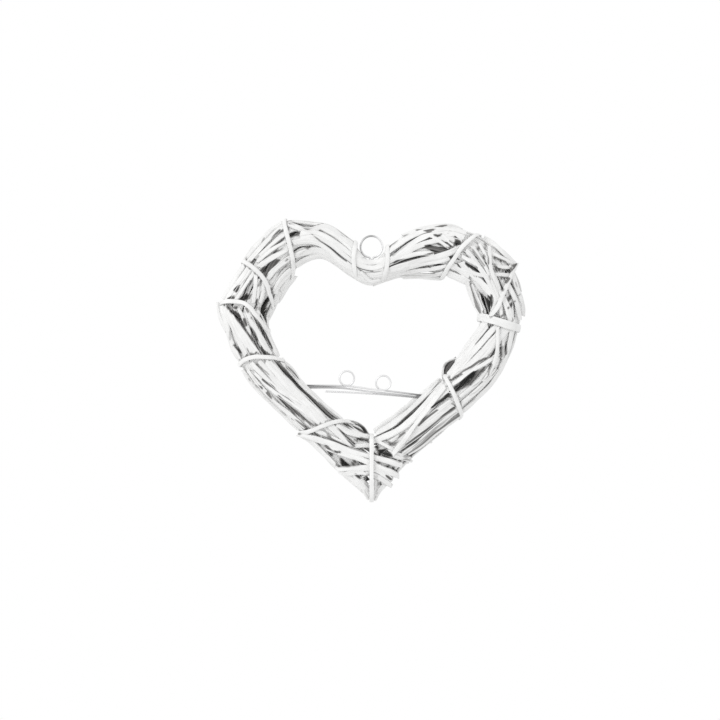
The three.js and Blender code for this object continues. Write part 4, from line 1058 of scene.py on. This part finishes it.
def wires():
    """The hanging ring and the crossbar, along the same routes as in the part."""
    radius = (RING_OUTER_DIAMETER - RING_WIRE) / 2
    middle = -radius + RING_WIRE / 2
    twist = (RING_WIRE + WIRE_GAP) / 2
    top = middle - radius - SHANK_NECK

    def shank(phase):
        turns = phase + np.linspace(0, 1.5 * math.pi, 7)
        heights = top - np.linspace(0, SHANK_LENGTH, 7)
        return [(math.cos(t) * twist, math.sin(t) * twist, h) for t, h in zip(turns, heights)]

    loop = [(math.cos(math.radians(a)) * radius, 0.0, middle + math.sin(math.radians(a)) * radius)
            for a in np.linspace(RING_OPENING / 2 - 90, 270 - RING_OPENING / 2, 25)]
    # The tone lists paint light and shade along each wire: the crossbar darker where it runs into the bundle, the ring
    # greyer at its top.
    wire("hanging_ring", shank(0)[::-1] + loop + shank(math.pi), RING_WIRE,
         [0.7, 0.7, 0.8, 1.1, 1.2, 1.1, 0.42, 0.5, 0.75, 0.85, 0.9, 0.7, 0.7])

    def place(x, z):
        return x * HEART_WIDTH, z * HEART_WIDTH

    left_eye, right_eye = place(-0.0804, -0.462), place(0.0384, -0.4768)
    bar_left, bar_right = place(-0.264, -0.4856), place(0.2, -0.5224)
    tail = place(-0.152, -0.5048)
    pitch = CROSSBAR_WIRE + WIRE_GAP
    drop = (EYE_OUTER_DIAMETER - CROSSBAR_WIRE) / 2
    under_left, under_right = left_eye[1] - drop, right_eye[1] - drop

    def eye(spot, y_from, y_to):
        turns = -math.pi / 2 + np.linspace(0, 2 * math.pi, 13)
        return [(spot[0] + math.cos(t) * drop, y, spot[1] + math.sin(t) * drop)
                for t, y in zip(turns, np.linspace(y_from, y_to, 13))]

    between = under_left + (under_right - under_left) * 0.45
    wire("eye_wire", [(bar_left[0], 0, bar_left[1]), (left_eye[0] - EYE_OUTER_DIAMETER, 0, under_left)]
         + eye(left_eye, 0, -pitch) + [(left_eye[0] + drop * 2, -pitch, between)] + eye(right_eye, -pitch, 0)
         + [(right_eye[0] + EYE_OUTER_DIAMETER, 0, under_right - pitch), (bar_right[0], 0, bar_right[1])],
         CROSSBAR_WIRE, [-0.4, 0.45, 0.85, 0.95, 0.9, 1.0, 0.95, 0.9, 0.6, -0.3])
    wire("crossbar_rod", [(bar_left[0], 0, bar_left[1] - pitch), (left_eye[0] - drop, 0, under_left - pitch),
                          (left_eye[0] + drop * 2, 0, between - ROD_SPACING),
                          (right_eye[0], 0, under_right - pitch * 1.3),
                          (right_eye[0] + EYE_OUTER_DIAMETER, 0, under_right - pitch * 2.1),
                          (bar_right[0], 0, bar_right[1] - pitch * 1.1)], CROSSBAR_WIRE,
         [-0.4, 0.4, 0.5, 0.85, 0.95, 0.7, 0.45, -0.4])
    wire("crossbar_lower_rod", [(tail[0], pitch, tail[1]), (left_eye[0], pitch, tail[1] - CROSSBAR_WIRE / 2),
                                (right_eye[0], pitch, under_right - pitch * 1.3 - ROD_SPACING / 2),
                                (bar_right[0], pitch, bar_right[1] - pitch * 0.9)], CROSSBAR_WIRE,
         [1.0, 1.0, 0.9, 0.6, 0.3])


def lining(side, limb):
    """Painted sticks side by side under the outer ones, which sink in the gaps of the front and are darkened there as
    painted shade.
    """
    bunch = Bunch(f"{side}_under_willow")
    rng = np.random.default_rng(15 if side == "left" else 16)
    for first, last in CORE_SPANS[side]:
        widest = limb.at(np.arange(first, last, 0.1))[:, 2].max() - LINING_INSET
        count = math.ceil(2 * math.pi * widest / LINING_WIDTH)
        for k in range(count):
            u = np.arange(first + rng.uniform(0, 0.1), last - rng.uniform(0, 0.3), 0.08)
            angle = (k + 0.5) * 360 / count + rng.uniform(-5, 5) + np.linspace(0, rng.uniform(-8, 8), len(u))
            facing = limb.outwards(u, angle)
            path = limb.point(u, angle, LINING_INSET)
            sunk = smooth(shade_share(path)[:, None], 3)
            path = smooth(path - facing * sunk * LINING_SINK, 3)
            bunch.stick(path, facing, LINING_WIDTH * rng.uniform(1.0, 1.2), 0.9, plain=True, shade_strength=1.0)
    bunch.finish()


def willow():
    """All the sticks, the strands along the limbs first, then those that the photograph shows."""
    for side, limb, weave in (("left", limbs["left"], LEFT_WEAVE), ("right", limbs["right"], RIGHT_WEAVE)):
        beside = limb.station_past(RING_OUTER_DIAMETER / 2 + RING_WIRE * 2)
        for place, row in {**weave, "top_edge": [1, beside, 3.4, 24, 14, 2]}.items():
            bunch = Bunch(f"{side}_{place}_willow")
            # The core strands keep little paint: dark bare wood, which also paints the shade inside the bundle.
            strand(bunch, limb, row, 0.25 if place.endswith("core") else 1.0)
            bunch.finish((f"{side}_{place}_sticks",))
        bunch = Bunch(f"{side}_tip_willow")
        strand(bunch, limb, TIP_STRANDS[side])
        bunch.finish()
        lining(side, limb)
        # The inner sticks keep little paint: dark bare wood, which also paints the shade deep in the bundle, darker
        # still in the gaps of the front.
        core = Bunch(f"{side}_inner_willow")
        rng = np.random.default_rng(5 if side == "left" else 6)
        for first, last in CORE_SPANS[side]:
            for k in range(5):
                u = np.arange(first, last, 0.1)
                angle = k * 72 + rng.uniform(-14, 14) + np.linspace(0, rng.uniform(-50, 50), len(u))
                half = limb.at(u)[:, 2]
                inset = np.minimum(half * 0.75, rng.uniform(5.5, 11))
                path = smooth(limb.point(u, angle, inset), 3)
                core.stick(path, limb.outwards(u, angle), rng.uniform(4, 5.5), rng.uniform(0.2, 0.5), shade_strength=1.3)
        core.finish()
    for name, (nodes, sticks) in SEEN_STICKS.items():
        bunch = Bunch(name)
        for width, inset, *spots in sticks:
            seen_stick(bunch, width, inset, *spots)
        bunch.finish(nodes)


def cleft_stick():
    """The stick laid over the cleft from one limb to the other."""
    inset = -LAYER_GAP - STICK_THICKNESS / 2
    rows, facing = [], []
    for share in np.linspace(-1, 1, 25):
        limb = limbs["left" if share < 0 else "right"]
        u = abs(share) * (0.4 if share < 0 else 0.32)
        angle = 112 + (140 - 112) * (share + 1) / 2
        rows.append(limb.point(u, angle, inset))
        facing.append(limb.outwards(u, angle))
    bunch = Bunch("cleft_front_willow")
    bunch.stick(smooth(np.array(rows), 3), np.array(facing), STICK_WIDTH * 0.7)
    bunch.finish(("cleft_front_stick",))


def tip_back_sticks():
    """Sticks that lie across the back of the tip."""
    for name, start, end in (("tip_back_stick_1", (-0.12, -0.752), (0.2, -0.668)),
                             ("tip_back_stick_2", (-0.08, -0.788), (0.12, -0.736))):
        x = np.linspace(start[0], end[0], 30) * HEART_WIDTH
        z = np.linspace(start[1], end[1], 30) * HEART_WIDTH
        deep = skin(x, z)
        deep = np.maximum(deep, deep.max() * 0.75) + LAYER_GAP * 2 + STICK_THICKNESS / 2
        bunch = Bunch(name.replace("_stick_", "_willow_"))
        path = smooth(np.stack([x, deep, z], 1), 5)
        bunch.stick(path, np.tile((0.0, 1.0, 0.0), (30, 1)), STICK_WIDTH)
        bunch.finish((name,))


def bindings():
    ring_side = RING_OUTER_DIAMETER / 2 + RING_WIRE + CLEFT_BINDING_WIDTH / 2
    for side, lean in (("left", 0.3), ("right", 0.35)):
        limb = limbs[side]
        past = limb.station_past(ring_side) - lean
        binding(f"{side}_cleft_binding", limb, lambda a, p=past, k=lean: p + k * np.cos(np.radians(a)),
                CLEFT_BINDING_WIDTH)
    for name, spots in BINDING_ROUTES.items():
        limb = limbs[name.split("_")[0]]
        binding(name, limb, route_station(limb, spots),
                WIDE_BINDING_WIDTH if name == "right_side_binding" else BINDING_WIDTH)
    tip = limbs["left"].at(limbs["left"].last)
    high = tip[2] + BINDING_CLEARANCE + BINDING_THICKNESS / 2
    low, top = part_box("tip_binding")
    deep = (top.y - low.y) / 2 / MM - BINDING_THICKNESS / 2

    def place(a):
        power = np.where(np.cos(np.radians(a)) > 0, 1.0, 0.6)
        y, z = (np.sign(value) * np.abs(value) ** power for value in (np.sin(np.radians(a)), np.cos(np.radians(a))))
        return np.stack([np.full(len(a), tip[0]), -deep * y, tip[1] - high * z], 1)

    def outwards(a):
        along = place(a + 1) - place(a - 1)
        away = np.cross((1.0, 0.0, 0.0), along)
        return away / np.linalg.norm(away, axis=1, keepdims=True)

    bunch = Bunch("tip_band")
    # The tip band keeps a little less paint: a slight painted shade on the tip.
    wound(bunch, place, outwards, BINDING_WIDTH, BINDING_THICKNESS, 250, tone_and_shade=0.85)
    bunch.finish(("tip_binding",), "painted_binding")


willow()
cleft_stick()
tip_back_sticks()
bindings()
wires()


def stage():
    """A pale floor far below the hanging heart, a white surround and a soft light from the left."""
    mesh = bpy.data.meshes.new("floor")
    reach, drop = 3.0, -1.2
    mesh.from_pydata([(-reach, -reach, drop), (reach, -reach, drop), (reach, reach, drop), (-reach, reach, drop)], [],
                     [(0, 1, 2, 3)])
    floor = bpy.data.objects.new("floor", mesh)
    bpy.context.scene.collection.objects.link(floor)
    material = bpy.data.materials.new("pale_floor")
    material.use_nodes = True
    nodes, links = material.node_tree.nodes, material.node_tree.links
    noise = nodes.new("ShaderNodeTexNoise")
    noise.inputs["Scale"].default_value = 6.0
    tone = nodes.new("ShaderNodeMapRange")
    tone.inputs["To Min"].default_value = 0.86
    tone.inputs["To Max"].default_value = 0.90
    links.new(noise.outputs["Fac"], tone.inputs["Value"])
    links.new(tone.outputs["Result"], nodes["Principled BSDF"].inputs["Base Color"])
    nodes["Principled BSDF"].inputs["Roughness"].default_value = 0.9
    mesh.materials.append(material)

    world = bpy.data.worlds.new("white_surround")
    bpy.context.scene.world = world
    world.use_nodes = True
    background = world.node_tree.nodes["Background"]
    background.inputs["Color"].default_value = (1, 1, 1, 1)
    background.inputs["Strength"].default_value = 1.0

    sun = bpy.data.lights.new("key", "SUN")
    sun.energy = 0.7
    sun.angle = math.radians(24)
    key = bpy.data.objects.new("key", sun)
    key.rotation_euler = Vector((0.60, 0.66, -0.38)).to_track_quat("-Z", "Y").to_euler()
    bpy.context.scene.collection.objects.link(key)

    lens = bpy.data.cameras.new("camera")
    lens.lens = LENS
    lens.sensor_width = SENSOR
    camera = bpy.data.objects.new("camera", lens)
    camera.location = (VIEW_MIDDLE_X * MM, -VIEW_DISTANCE * MM, VIEW_MIDDLE_Z * MM)
    camera.rotation_euler = (math.radians(90), 0, 0)
    bpy.context.scene.collection.objects.link(camera)
    bpy.context.scene.camera = camera
    bpy.context.scene.view_settings.view_transform = "Standard"


stage()
